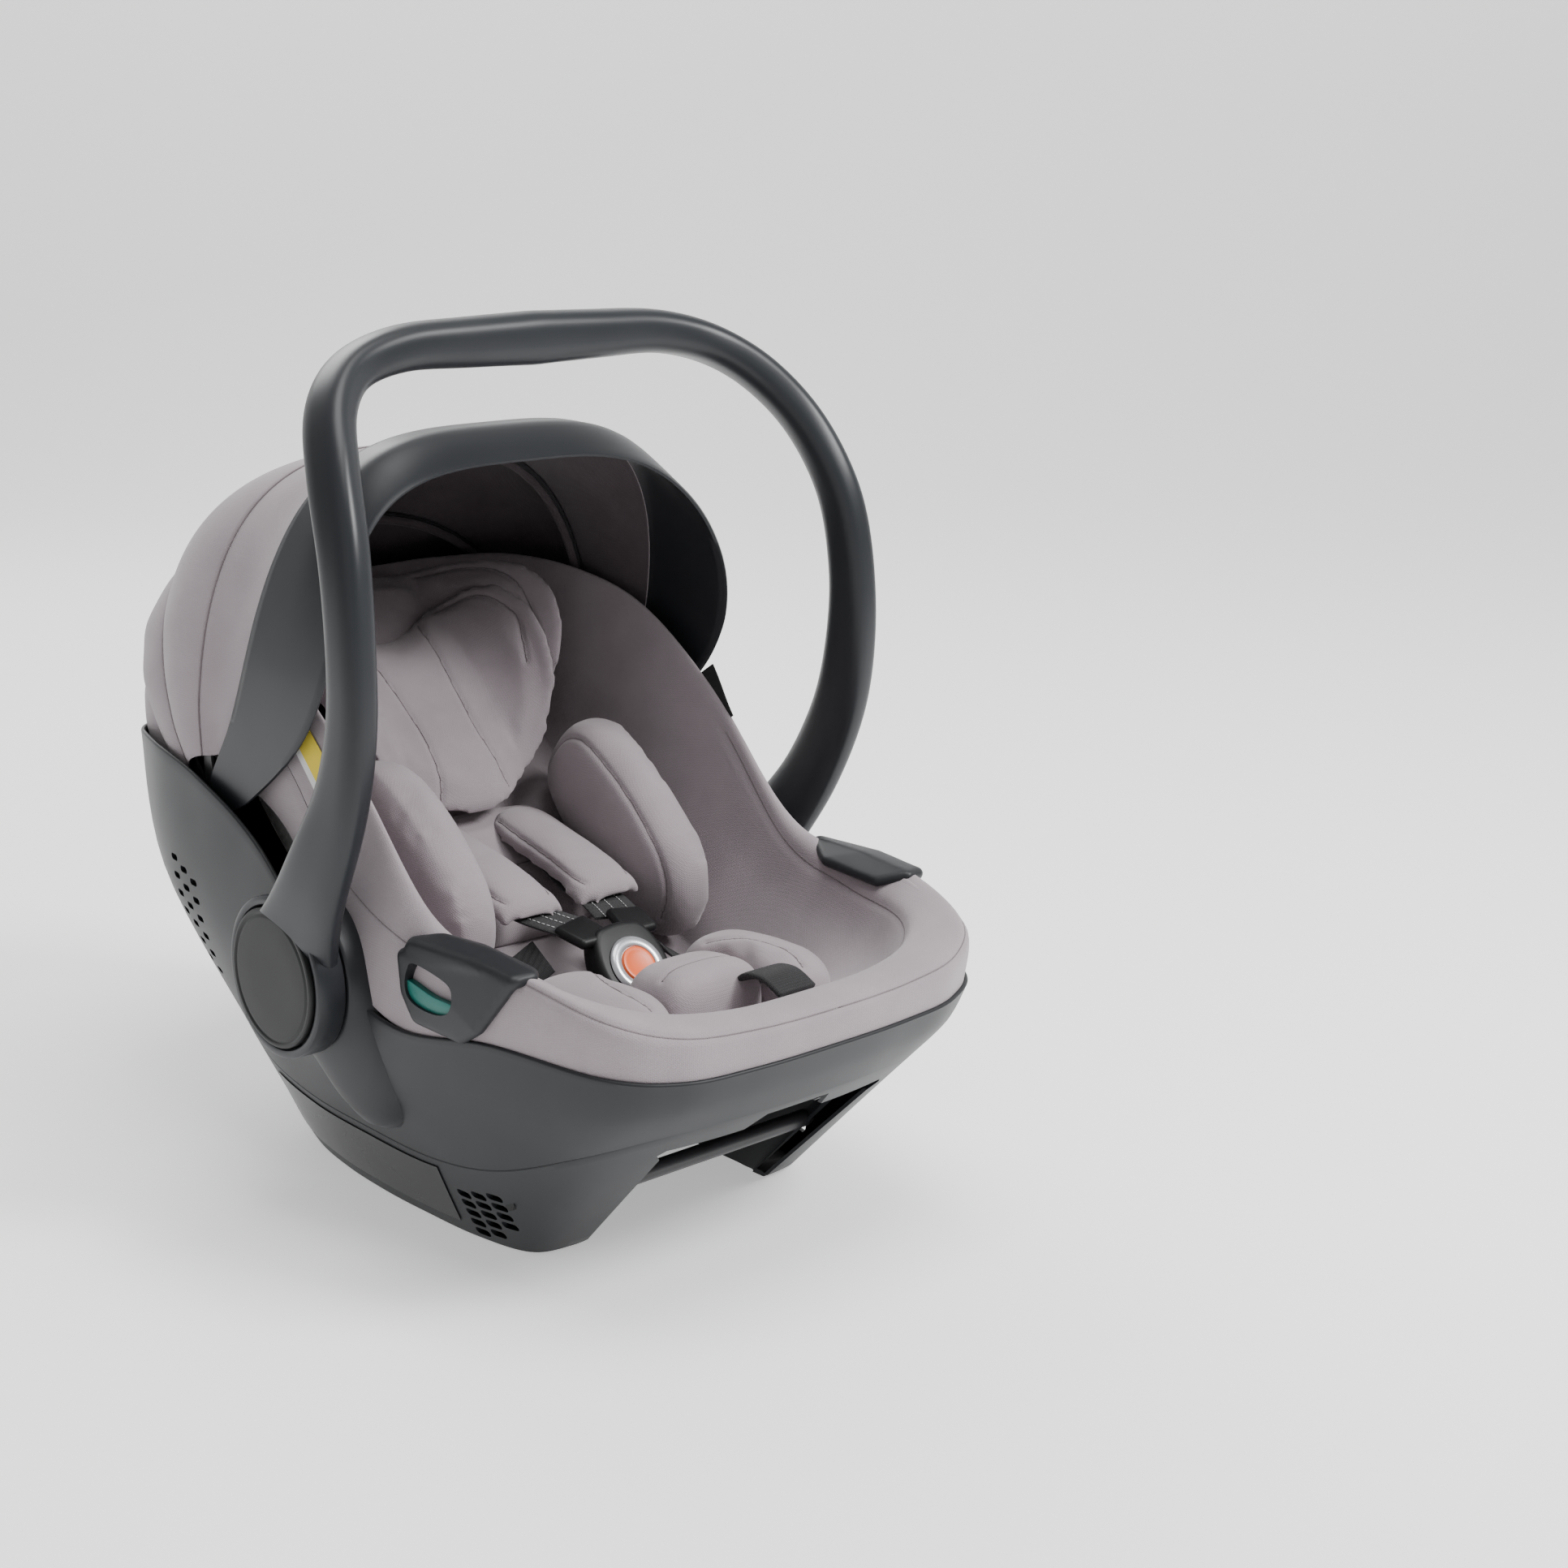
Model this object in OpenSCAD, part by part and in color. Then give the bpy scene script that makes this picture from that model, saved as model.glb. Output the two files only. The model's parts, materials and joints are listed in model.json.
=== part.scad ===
// Infant car seat: a rear-facing carrier shell with a turning handle, a folding canopy and a harness.
// X is the width, the foot end faces -Y, the head end faces +Y, and the rockers stand on z = 0.
// Lengths are in millimetres. Shapes are drawn from the handle axis, then shifted by hub_y.

/* [Shell] */
// Overall width of the hard shell at its rim
shell_w = 374; // [366:1:376]
// Thickness of the moulded shell walls
wall = 3.5; // [2.5:0.5:4]
// Thickness of the padded cover
cover_t = 9; // [7:1:10]
// Thickness of the foam liner under the cover
liner_t = 14; // [10:1:16]

/* [Handle] */
// Height of the handle axis above the floor
hub_z = 176; // [174:1:178]
// Height of the middle of the grip above the floor
grip_z = 580; // [574:1:584]
// Distance from the middle to the outer face of each hub cap
cap_x = 221; // [220:1:222]
// Outer radius of the round hub on each handle leg
hub_r = 55; // [53:1:56]
// Radius of the hub axles
axle_r = 8; // [6:0.5:9]

/* [Canopy] */
// Height of the canopy pivot above the floor
pivot_z = 240; // [238:1:242]
// Distance of the canopy pivot behind the handle axis
pivot_y = 150; // [148:1:152]
// Thickness of the canopy's front band
band_t = 3; // [2:0.5:3]

/* [Frame] */
// Radius of the two steel cross bars
bar_r = 6; // [5:0.5:7]
// Gap kept between pieces that touch
gap = 0.5; // [0.4:0.1:0.6]

/* [Hidden] */

hub_y = 32.5;            // the handle axis stands this far in front of the middle of the length
stations = 48;          // points around each outline of the shell
recline = 40;           // angle of the backrest above the floor
back_y = 20;            // where the backrest starts, behind the handle axis
back_z = 160;
soft_fn = 16;           // facets of the rounded corners of soft pieces
sx = shell_w / 374;

// Right half of each outline of the shell, from the front centre to the rear centre.
rim_half = [[0, -303, 163], [65, -301, 163], [118, -293, 164], [158, -264, 168], [178, -180, 170],
    [186, -90, 158], [187, -10, 182], [187, 70, 246], [185, 150, 277], [175, 228, 287],
    [139, 304, 279], [80, 352, 268], [0, 369, 264]];
mid_half = [[0, -293, 143], [64, -291, 143], [117, -281, 141], [155, -250, 136], [173, -170, 124],
    [179, -90, 112], [182, -10, 120], [183, 70, 150], [180, 150, 170], [168, 225, 186],
    [132, 294, 194], [76, 340, 196], [0, 355, 197]];
seam_half = [[0, -278, 122], [60, -276, 122], [112, -262, 118], [145, -225, 102], [157, -160, 76],
    [158, -90, 62], [158, -10, 60], [155, 60, 60], [146, 130, 66], [131, 190, 84],
    [108, 240, 104], [58, 268, 112], [0, 273, 114]];
foot_half = [[0, -150, 2], [48, -152, 2], [92, -155, 2], [119, -143, 1], [130, -98, 0],
    [134, -45, 0], [135, 0, 0], [132, 50, 0], [124, 98, 1], [111, 140, 9],
    [90, 168, 24], [48, 182, 32], [0, 184, 34]];
// The tunnel between the rockers, at the floor and at its roof.
tunnel_half = [[0, -142, 2], [45, -143, 2], [80, -143, 2], [86, -128, 1], [88, -95, 0],
    [89, -45, 0], [90, 0, 0], [88, 50, 0], [82, 85, 1], [70, 112, 9],
    [50, 128, 24], [25, 134, 32], [0, 135, 34]];
roof_half = [[0, -250, 104], [45, -248, 104], [84, -238, 102], [101, -200, 94], [104, -120, 74],
    [102, -60, 68], [100, -10, 66], [98, 50, 70], [92, 90, 80], [80, 120, 94],
    [56, 150, 108], [28, 165, 112], [0, 168, 113]];
// The bottom of the shell's inner pan.
pan_half = [[0, -225, 116], [50, -223, 116], [85, -205, 112], [105, -165, 100], [116, -110, 90],
    [120, -60, 86], [122, -10, 86], [122, 50, 92], [118, 110, 106], [106, 160, 128],
    [82, 195, 146], [45, 210, 152], [0, 213, 154]];
// The lower edge, the piped edge, the top and the foot of the padded rim.
tuck_half = [[0, -301, 164], [64, -299, 164], [117, -291, 165], [156, -262, 169], [176, -179, 171],
    [183, -90, 160], [180, -15, 190], [165, 60, 252], [160, 140, 280], [147, 216, 288],
    [116, 282, 282], [64, 318, 272], [0, 330, 270]];
edge_half = [[0, -304, 190], [65, -302, 191], [119, -292, 195], [156, -262, 206], [173, -190, 220],
    [176, -100, 215], [174, -15, 245], [167, 60, 306], [163, 135, 336], [150, 212, 342],
    [118, 270, 336], [62, 298, 330], [0, 303, 328]];
crest_half = [[0, -274, 192], [60, -272, 193], [108, -260, 198], [141, -228, 206], [153, -165, 213],
    [158, -95, 232], [161, -20, 308], [159, 60, 366], [153, 130, 388], [138, 204, 394],
    [104, 258, 388], [54, 280, 382], [0, 284, 380]];
seat_half = [[0, -215, 150], [45, -213, 150], [78, -197, 148], [97, -160, 141], [106, -110, 134],
    [111, -60, 131], [113, -5, 150], [115, 55, 196], [115, 112, 242], [112, 165, 286],
    [98, 214, 326], [56, 246, 352], [0, 254, 358]];
// Height of the seat along its middle, from the front to the head end.
seat_line = [[-230, 158], [-160, 132], [-100, 124], [-40, 127], [20, 160], [254, 356], [300, 395]];
pan_line = [[-230, 116], [-100, 84], [0, 84], [110, 100], [230, 156]];

// Middle line of the handle, from the right axle to the middle of the grip.
handle_half = [[207, 0, hub_z], [214, -28, hub_z + 38], [219, -56, hub_z + 80],
    [217, -84, 310], [215, -96, 362], [214, -96, 414], [210, -86, 466], [200, -62, 512],
    [182, -34, 546], [152, -13, 568], [108, -4, grip_z - 1], [54, -3, grip_z], [0, -3, grip_z]];

// Side profile of the canopy's band: height, front edge, rear edge.
band_line = [[246, 138, 160], [250, 133, 158], [262, 106, 150], [280, 77, 139], [320, 26, 111], [360, -2, 92],
    [400, -13, 80], [440, -11, 70], [480, -1, 61], [502, 5, 55], [520, 12, 50]];

function mix(a, b, t) = a + (b - a) * t;
function unit(v) = v / norm(v);
function mean(pts) = [for (k = [0:2]) let (c = [for (p = pts) p[k]]) c * [for (v = c) 1] / len(c)];
function spline(a, b, c, d, t) =
    0.5 * (2 * b + (c - a) * t + (2 * a - 5 * b + 4 * c - d) * t * t + (3 * b - a - 3 * c + d) * t * t * t);
function loop_at(pts, u) = let (n = len(pts), k = floor(u * n), t = u * n - k)
    spline(pts[(k - 1 + n) % n], pts[k % n], pts[(k + 1) % n], pts[(k + 2) % n], t);
function path_at(pts, u) = let (n = len(pts) - 1, k = min(floor(u * n), n - 1), t = u * n - k)
    spline(pts[max(k - 1, 0)], pts[k], pts[k + 1], pts[min(k + 2, n)], t);
function flipped(p) = [-p[0], p[1], p[2]];
function both_sides(half) = concat(half, [for (i = [len(half) - 2:-1:1]) flipped(half[i])]);
function outline(half) = let (p = both_sides(half))
    [for (i = [0:stations - 1]) let (q = loop_at(p, i / stations)) [q[0] * sx, q[1], q[2]]];
// An outline moved inwards by d and up by dz.
function inset(r, d, dz = 0) = let (n = len(r))
    [for (j = [0:n - 1]) let (t = r[(j + 1) % n] - r[(j + n - 1) % n], l = norm([t[0], t[1]]))
        r[j] + [-t[1] / l * d, t[0] / l * d, dz]];
// Rings at the fractions ts between a list of level outlines, smooth from level to level.
function levels(list, ts) = [for (t = ts) [for (j = [0:stations - 1]) path_at([for (r = list) r[j]], t)]];
// A ring shrunk about its middle, with its heights taken from a line along Y.
function shrunk(r, s, line, dz) = let (c = mean(r))
    [for (p = r) let (y = mix(c[1], p[1], s), rise = p[2] - lookup(p[1], line))
        [p[0] * s, y, lookup(y, line) + rise * s * s * s + dz]];
function reversed(list) = [for (i = [len(list) - 1:-1:0]) list[i]];

rim = outline(rim_half);
mid = outline(mid_half);
seam = outline(seam_half);
foot = outline(foot_half);
pan = outline(pan_half);
tuck = outline(tuck_half);
edge = outline(edge_half);
crest = outline(crest_half);
seat = outline(seat_half);
// Part of the way down the inside of the bucket, from the crest to the seat.
bowl = [for (j = [0:stations - 1]) let (a = crest[j], b = seat[j])
    [mix(a[0], b[0], 0.3), mix(a[1], b[1], 0.3), mix(a[2], b[2], 0.45)]];
steps = [0, 0.12, 0.25, 0.38, 0.5, 0.62, 0.75, 0.88, 1];

// A closed skin over rings of equal length. Ends are capped from their middle, or straight across from
// point to point for the rings of a thin sheet, unless the rings close on themselves.
module skin(rings, closed = false, sheet = false) {
    n = len(rings[0]);
    m = len(rings);
    last = closed ? m - 1 : m - 2;
    capped = !closed && !sheet;
    points = concat([for (r = rings) for (p = r) p], capped ? [mean(rings[0]), mean(rings[m - 1])] : []);
    sides = [for (i = [0:last]) for (j = [0:n - 1])
        let (a = i * n + j, b = i * n + (j + 1) % n, c = ((i + 1) % m) * n + (j + 1) % n, d = ((i + 1) % m) * n + j)
        each [[a, b, c], [a, c, d]]];
    caps = !capped ? [] : [for (j = [0:n - 1])
        each [[m * n, (j + 1) % n, j], [m * n + 1, (m - 1) * n + j, (m - 1) * n + (j + 1) % n]]];
    hems = !sheet ? [] : [for (j = [0:n / 2 - 2]) let (e = (m - 1) * n, k = n - 1 - j)
        each [[j + 1, j, k], [j + 1, k, k - 1], [e + j, e + j + 1, e + k], [e + j + 1, e + k - 1, e + k]]];
    polyhedron(points, concat(sides, caps, hems));
}

// A rounded solid through balls, each given as [centre, radius].
module blob(balls) {
    hull() for (b = balls) translate(b[0]) sphere(r = b[1], $fn = soft_fn);
}

// A point given by its width, its distance up the backrest and its height off the backrest.
function on_back(x, v, n) = [x, back_y + v * cos(recline) - n * sin(recline),
    back_z + v * sin(recline) + n * cos(recline)];

// A flat strap through points: w wide along X, t thick.
module strap(route, w, t) {
    m = len(route);
    rings = [for (i = [0:m - 1])
        let (d = unit(route[min(i + 1, m - 1)] - route[max(i - 1, 0)]), s = unit(cross([0, 0, 1], d)),
            side = abs(d[0]) > 0.9 ? s : unit([1, 0, 0] - d * d[0]), up = cross(d, side))
        [for (c = [[-1, -1], [-1, 1], [1, 1], [1, -1]]) route[i] + side * (c[0] * w / 2) + up * (c[1] * t / 2)]];
    skin(rings);
}

module mirrored(side) {
    if (side > 0) children();
    else mirror([1, 0, 0]) children();
}

module place() {
    translate([0, -hub_y, 0]) children();
}

// ---- Hard shell and base ----

module outer_shell() {
    fractions = [0, 0.25, 0.5, 0.75, 1];
    outside = levels([rim, mid, seam], fractions);
    inside = [for (r = outside) inset(r, wall)];
    color([0.25, 0.26, 0.27])
        difference() {
            skin(concat(
                [for (s = [0.2, 0.6]) shrunk(pan, s, pan_line, wall)], [inset(pan, 0, wall)],
                [for (i = [4:-1:1]) inset(inside[i], 0, i == 4 ? wall : 0)], [inside[0]],
                outside, [inset(seam, wall)], [pan], [for (s = [0.6, 0.2]) shrunk(pan, s, pan_line, 0)]));
            translate([0, 0, hub_z]) rotate([0, 90, 0]) cylinder(r = axle_r, h = 500, center = true, $fn = 64);
        }
}

// The lower skirt: an outer wall, a rocker along each side and the tunnel between the rockers.
module base_skirt() {
    top = inset(seam, 1, -gap);
    tunnel = outline(tunnel_half);
    roof = outline(roof_half);
    flank = levels([seam, foot], [0.5])[0];
    color([0.2, 0.21, 0.22])
        difference() {
            skin([top, flank, foot, tunnel, roof, inset(roof, -wall), inset(tunnel, -wall, wall),
                inset(foot, wall, wall), inset(flank, wall), inset(top, wall)], closed = true);
            front_arch();
            vents();
        }
}

arch_bottom = 80;
arch_top = 98;
arch_roof = 104.5;
module front_arch() {
    translate([0, -110, 0])
        rotate([90, 0, 0])
            linear_extrude(220)
                polygon([[-arch_bottom, -10], [-arch_top, arch_roof], [-34, arch_roof], [-26, 116], [26, 116],
                    [34, arch_roof], [arch_top, arch_roof], [arch_bottom, -10]]);
}

module vents() {
    for (s = [-1, 1]) for (row = [0:3]) for (col = [0:1])
        translate([s * 132, -118 - 17 * col, 11 + 8.5 * row + 3 * col])
            cube([60, 13, 4.5], center = true);
}

// The levels of the padded rim and bucket, moved d into the padding, and deep under the seat.
function lining(d, deep) = [inset(tuck, d), inset(edge, d), inset(crest, 0, -d),
    inset(bowl, -d * 0.7, -d * 0.6), inset(seat, -deep * 0.6, -deep)];
function floor_rings(depth) = [for (s = [0.2, 0.6]) shrunk(seat, s, seat_line, -depth)];

// Foam between the cover and the shell, from the crest to the seat.
module foam_liner() {
    near = cover_t + 4;
    far = near + liner_t;
    inside_steps = [for (t = steps) if (t >= 0.5) t];
    color([0.9, 0.9, 0.88])
        difference() {
            skin(concat(floor_rings(near), reversed(levels(lining(near, near), inside_steps)),
                levels(lining(near + 5, far), inside_steps), reversed(floor_rings(far))));
            translate([-31, adjuster_at[1] - 28, adjuster_at[2] - 20]) cube([62, 56, 60]);
        }
}

// The padded cover: it wraps the rim of the shell and lines the bucket.
module seat_cover() {
    color([0.62, 0.57, 0.58])
        skin(concat(floor_rings(0), reversed(levels(lining(0, 0), steps)),
            levels(lining(cover_t, cover_t), steps), reversed(floor_rings(cover_t))));
}

front_bar = [-184, 54];
rear_bar = [70, 46];
spigot = 4;         // length of the thinner end that is pressed into each wall
module cross_bar(at, length) {
    color([0.08, 0.08, 0.09])
        translate([0, at[0], at[1]])
            rotate([0, 90, 0]) {
                cylinder(r = bar_r, h = length, center = true, $fn = 48);
                cylinder(r = bar_r - 1, h = length + 2 * spigot, center = true, $fn = 48);
            }
}

module front_cross_bar() cross_bar(front_bar, 182);
module rear_cross_bar() cross_bar(rear_bar, 178);

// Steel bracket in the tunnel that stiffens the shell where a base latches on.
module latch_bracket() {
    color([0.1, 0.1, 0.11])
        difference() {
            translate([-24, -60, 54]) cube([48, 100, 27]);
            translate([-21, -61, 51]) cube([42, 102, 27]);
            for (y = [-40, 20]) translate([0, y, 70]) cylinder(r = 2.5, h = 20, $fn = 32);
        }
}

module skirt_screws() {
    color([0.55, 0.55, 0.56])
        for (s = [-1, 1]) for (y = [-70, 0, 60])
            translate([s * 112, y, wall + 0.05]) {
                cylinder(r = 4, h = 3, $fn = 32);
                cylinder(r = 2, h = 16, $fn = 32);
            }
}

module vent_plug(side) {
    color([0.15, 0.15, 0.16])
        mirrored(side)
            translate([138, -152, 46]) rotate([0, 90, 0]) cylinder(r = 5, h = 4, $fn = 32);
}

// ---- Handle hubs ----

module hub_boss(side) {
    color([0.22, 0.23, 0.24])
        mirrored(side)
            difference() {
                hull() {
                    translate([187, 0, hub_z]) rotate([0, 90, 0]) cylinder(r = 53, h = 8.5, $fn = 32);
                    translate([168, -64, 72]) sphere(r = 3, $fn = 12);
                    translate([172, 10, 100]) sphere(r = 3, $fn = 12);
                }
                translate([160, 0, hub_z]) rotate([0, 90, 0]) cylinder(r = axle_r, h = 60, $fn = 48);
            }
}

module hub_axle(side) {
    color([0.6, 0.6, 0.62])
        mirrored(side)
            translate([0, 0, hub_z]) rotate([0, 90, 0])
                translate([0, 0, 176]) {
                    cylinder(r = axle_r, h = 30.5, $fn = 48);
                    translate([0, 0, -4]) cylinder(r = axle_r + 5, h = 4, $fn = 48);
                }
}

// Toothed plate keyed to the axle: the handle locks to it.
module lock_plate(side) {
    teeth = 12;
    color([0.45, 0.45, 0.46])
        mirrored(side)
            translate([206.5, 0, hub_z]) rotate([0, 90, 0]) {
                cylinder(r = 26, h = 3, $fn = 48);
                for (k = [0:teeth - 1]) rotate(k * 360 / teeth) translate([24, -3, 0]) cube([6, 6, 3]);
            }
}

// Conical spring, so that its turns nest when the cap is pressed.
spring_turns = 3;
module cap_spring(side) {
    steps_per_turn = 14;
    n = spring_turns * steps_per_turn;
    wire = 0.6;
    coil = 15;
    step_in = 2;        // how much smaller each turn is than the one before
    rise = 3.4;
    color([0.7, 0.7, 0.72])
        mirrored(side)
            skin([for (i = [0:n]) let (turn = i / steps_per_turn, a = turn * 360, r = coil - step_in * turn,
                out = [0, sin(-a), cos(-a)])
                [for (k = [0:5]) [210.6 + rise * i / n, 0, hub_z] + out * (r + wire * cos(60 * k))
                    + [wire * sin(60 * k), 0, 0]]]);
}

// ---- Handle ----

function handle_point(u) = u <= 0.5 ? path_at(handle_half, u * 2)
    : let (p = path_at(handle_half, (1 - u) * 2)) flipped(p);
// Half thickness across the arch and half width from front to rear, along the handle.
handle_across = [[0, 9.5], [0.08, 10.5], [0.2, 12], [0.36, 13], [0.5, 18]];
handle_along = [[0, 34], [0.06, 29], [0.12, 22], [0.2, 17.5], [0.36, 16.5], [0.5, 16]];

module handle_bow() {
    rings_n = 56;
    corners = 14;
    rings = [for (i = [0:rings_n]) let (u = 0.012 + 0.976 * i / rings_n, p = handle_point(u),
        d = unit(handle_point(u + 0.004) - handle_point(u - 0.004)),
        out = unit(p - [0, p[1], 330]), a = unit(out - d * (out * d)), b = cross(a, d),
        w = min(u, 1 - u), ha = lookup(w, handle_across), hb = lookup(w, handle_along))
        [for (k = [0:corners - 1]) let (q = k * 360 / corners, c = cos(q), s = sin(q))
            p + a * (ha * sign(c) * pow(abs(c), 0.75)) + b * (hb * sign(s) * pow(abs(s), 0.75))]];
    skin(rings);
}

module handle() {
    color([0.27, 0.28, 0.29])
        difference() {
            union() {
                handle_bow();
                for (s = [-1, 1]) mirrored(s)
                    translate([197.5, 0, hub_z]) rotate([0, 90, 0]) cylinder(r = hub_r, h = 21, $fn = 96);
            }
            for (s = [-1, 1]) mirrored(s)
                translate([0, 0, hub_z]) rotate([0, 90, 0]) {
                    translate([0, 0, 190]) cylinder(r = axle_r + 0.05, h = 20, $fn = 64);
                    translate([0, 0, 206]) cylinder(r = hub_r - 7, h = 40, $fn = 96);
                    translate([0, 0, 180]) cylinder(r = hub_r + 1, h = 16.8, $fn = 96);
                }
        }
}

// Round cap that is pressed to unlock the handle.
module hub_cap(side) {
    color([0.12, 0.12, 0.12])
        mirrored(side)
            translate([0, 0, hub_z]) rotate([0, 90, 0])
                difference() {
                    union() {
                        translate([0, 0, 215.5]) cylinder(r = hub_r - 7.4, h = cap_x - 216.5, $fn = 96);
                        translate([0, 0, cap_x - 1]) cylinder(r1 = hub_r - 7.4, r2 = hub_r - 8.6, h = 1, $fn = 96);
                    }
                    translate([0, 0, 215]) cylinder(r = hub_r - 10.5, h = 3, $fn = 96);
                }
}

// ---- Belt guides ----

guide_x = 177.5;    // inner face of each guide's outer plate
guide_t = 9;
guide_slot = [[-104, 190], [-110, 207], [-148, 203], [-150, 186], [-122, 180]];
module guide_outline() {
    hull() for (p = [[-94, 184], [-108, 173], [-158, 176], [-168, 190], [-162, 212], [-96, 212]])
        translate(p) circle(r = 6, $fn = 24);
}

module belt_guide(side) {
    color([0.2, 0.22, 0.23])
        mirrored(side)
            difference() {
                union() {
                    translate([guide_x, 0, 0]) rotate([90, 0, 90]) linear_extrude(guide_t) guide_outline();
                    blob([[[guide_x + 4.5, -100, 215], 4.5], [[guide_x + 3.5, -160, 220], 4.5],
                        [[150, -150, 227], 4], [[148, -206, 229], 4], [[174, -208, 226], 4.5]]);
                }
                translate([guide_x - 4, 0, 0]) rotate([90, 0, 90]) linear_extrude(20) polygon(guide_slot);
            }
}

module guide_insert(side) {
    color([0.06, 0.35, 0.3])
        mirrored(side)
            translate([guide_x + 3.9, 0, 0]) rotate([90, 0, 90])
                linear_extrude(3.6)
                    polygon([[-104.6, 190], [-106, 193], [-147, 190], [-149.4, 186.5], [-122, 180.6]]);
}

// ---- Canopy ----

module canopy_pivot(side) {
    color([0.3, 0.3, 0.31])
        mirrored(side)
            translate([164.4, pivot_y, pivot_z]) rotate([0, 90, 0]) {
                cylinder(r = 4, h = 13, $fn = 48);
                translate([0, 0, -2]) cylinder(r = 8, h = 2, $fn = 48);
            }
}

// The canopy's radius, half width and squareness at an angle back from vertical.
function fan_r(a) = lookup(a, [[-24, 292], [-10, 270], [0, 256], [12, 243], [25, 230], [38, 221],
    [50, 216], [66, 213], [84, 206]]);
function fan_w(a) = lookup(a, [[-24, 173], [20, 173], [45, 167], [66, 155], [84, 141]]);
function swell(a, h) = lookup(a, [[-24, 0], [0, 7]]) * min(1, h * 3);
// A point on a rounded square of unit size in the direction t.
function squircle(t, n) = let (c = cos(t), s = sin(t), k = pow(pow(abs(c), n) + pow(abs(s), n), 1 / n)) [c / k, s / k];
function fan_point(a, t, d) = let (q = squircle(t, 3), r = fan_r(a) - d, w = fan_w(a) + swell(a, q[1]) - d)
    [-w * q[0], pivot_y + r * q[1] * sin(a), pivot_z + r * q[1] * cos(a)];

module canopy_panel(a0, a1, puff, shade) {
    cols = 24;
    rows = 5;
    low = 14;
    function arc(i, d) = let (f = i / rows, a = mix(a0, a1, f), lift = puff * sin(180 * f))
        [for (k = [0:cols]) fan_point(a, mix(low, 180 - low, k / cols), d - lift)];
    rings = [for (i = [0:rows]) concat(arc(i, 0), reversed(arc(i, 1.6)))];
    color(shade) skin(reversed(rings), sheet = true);
}

panel_edges = [-24, 0, 32, 60, 84];
seam_a = 0.6;       // half the angle left between panels, where their seam runs
module canopy_panel_front() canopy_panel(panel_edges[0], panel_edges[1] - seam_a, 1, [0.64, 0.59, 0.6]);
module canopy_panel_middle() canopy_panel(panel_edges[1] + seam_a, panel_edges[2] - seam_a, 4, [0.62, 0.57, 0.58]);
module canopy_panel_rear() canopy_panel(panel_edges[2] + seam_a, panel_edges[3] - seam_a, 4, [0.6, 0.55, 0.56]);
module canopy_panel_tail() canopy_panel(panel_edges[3] + seam_a, panel_edges[4], 3, [0.6, 0.55, 0.56]);

// A flat spring-steel bow from pivot to pivot, inside the fabric.
module canopy_rib(a, x_eye, inside) {
    n = 40;
    rings = [for (i = [0:n]) let (t = mix(14, 166, i / n), p = fan_point(a, t, inside),
        q = fan_point(a, t, inside + 2.2), up = [0, cos(a), -sin(a)])
        [p - up * 4, p + up * 4, q + up * 4, q - up * 4]];
    color([0.12, 0.12, 0.13])
        difference() {
            union() {
                skin(rings);
                for (s = [-1, 1]) mirrored(s)
                    hull() {
                        translate([x_eye, pivot_y, pivot_z]) rotate([0, 90, 0]) cylinder(r = 8, h = 2.2, $fn = 32);
                        translate(flipped(fan_point(a, 15, inside + 1.1)) - [1.1, 0, 0])
                            rotate([0, 90, 0]) cylinder(r = 4, h = 2.2, $fn = 24);
                    }
            }
            for (s = [-1, 1]) mirrored(s)
                translate([160, pivot_y, pivot_z]) rotate([0, 90, 0]) cylinder(r = 4.05, h = 30, $fn = 48);
        }
}

module canopy_rib_rear() canopy_rib(panel_edges[2], 165, 3);
module canopy_rib_front() canopy_rib(panel_edges[1], 168.8, 3);

// The wide moulded band at the front of the canopy, tapering to its pivots.
band_w = 181;
band_low = 246;
function band_point(z_top, edge_i, t, d) = let (q = squircle(t, 3.4),
    z = band_low + (z_top - d - band_low) * q[1],
    tuck_in = 5 * max(0, 1 - (z - band_low) / 120))
    [-(band_w - d - tuck_in) * q[0], lookup(z, [for (b = band_line) [b[0], b[edge_i]]]), z];

module canopy_rim() {
    n = 48;
    rings = [for (i = [0:n]) let (t = 180 * i / n,
        front = band_point(500, 1, t, 0), rear = band_point(520, 2, t, 0), crown = mix(band_point(517, 1, t, 0), rear, 0.5),
        front_in = band_point(500, 1, t, band_t), rear_in = band_point(520, 2, t, band_t),
        crown_in = mix(band_point(517, 1, t, band_t), rear_in, 0.5))
        [front, mix(front, crown, 0.5) + [0, 0, 1], crown, rear, rear_in, crown_in, front_in]];
    color([0.24, 0.25, 0.26])
        difference() {
            union() {
                skin(rings);
                for (s = [-1, 1]) mirrored(s)
                    hull() {
                        translate([174.6, pivot_y, pivot_z]) rotate([0, 90, 0]) cylinder(r = 9, h = 2, $fn = 32);
                        translate([174.6, pivot_y - 4, pivot_z + 16]) rotate([0, 90, 0]) cylinder(r = 9, h = 2, $fn = 32);
                    }
            }
            for (s = [-1, 1]) mirrored(s)
                translate([160, pivot_y, pivot_z]) rotate([0, 90, 0]) cylinder(r = 4.05, h = 30, $fn = 48);
        }
}

// ---- Soft seat ----

module headrest_shell() {
    color([0.15, 0.15, 0.16])
        difference() {
            blob([for (x = [-80, 80]) for (v = [160, 232]) [on_back(x, v, 9), 4]]);
            for (x = [-30, 30]) translate(on_back(x, 176, 9)) rotate([recline, 0, 0]) cube([46, 8, 30], center = true);
        }
}

module headrest_pad() {
    color([0.6, 0.55, 0.56]) {
        blob([for (x = [-66, 66]) for (v = [172, 258]) [on_back(x, v, 26), 9]]);
        for (s = [-1, 1])
            blob([[on_back(s * 83, 172, 32), 12], [on_back(s * 85, 262, 34), 13], [on_back(s * 88, 264, 88), 12],
                [on_back(s * 89, 218, 112), 12], [on_back(s * 88, 176, 92), 12]]);
    }
}

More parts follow.
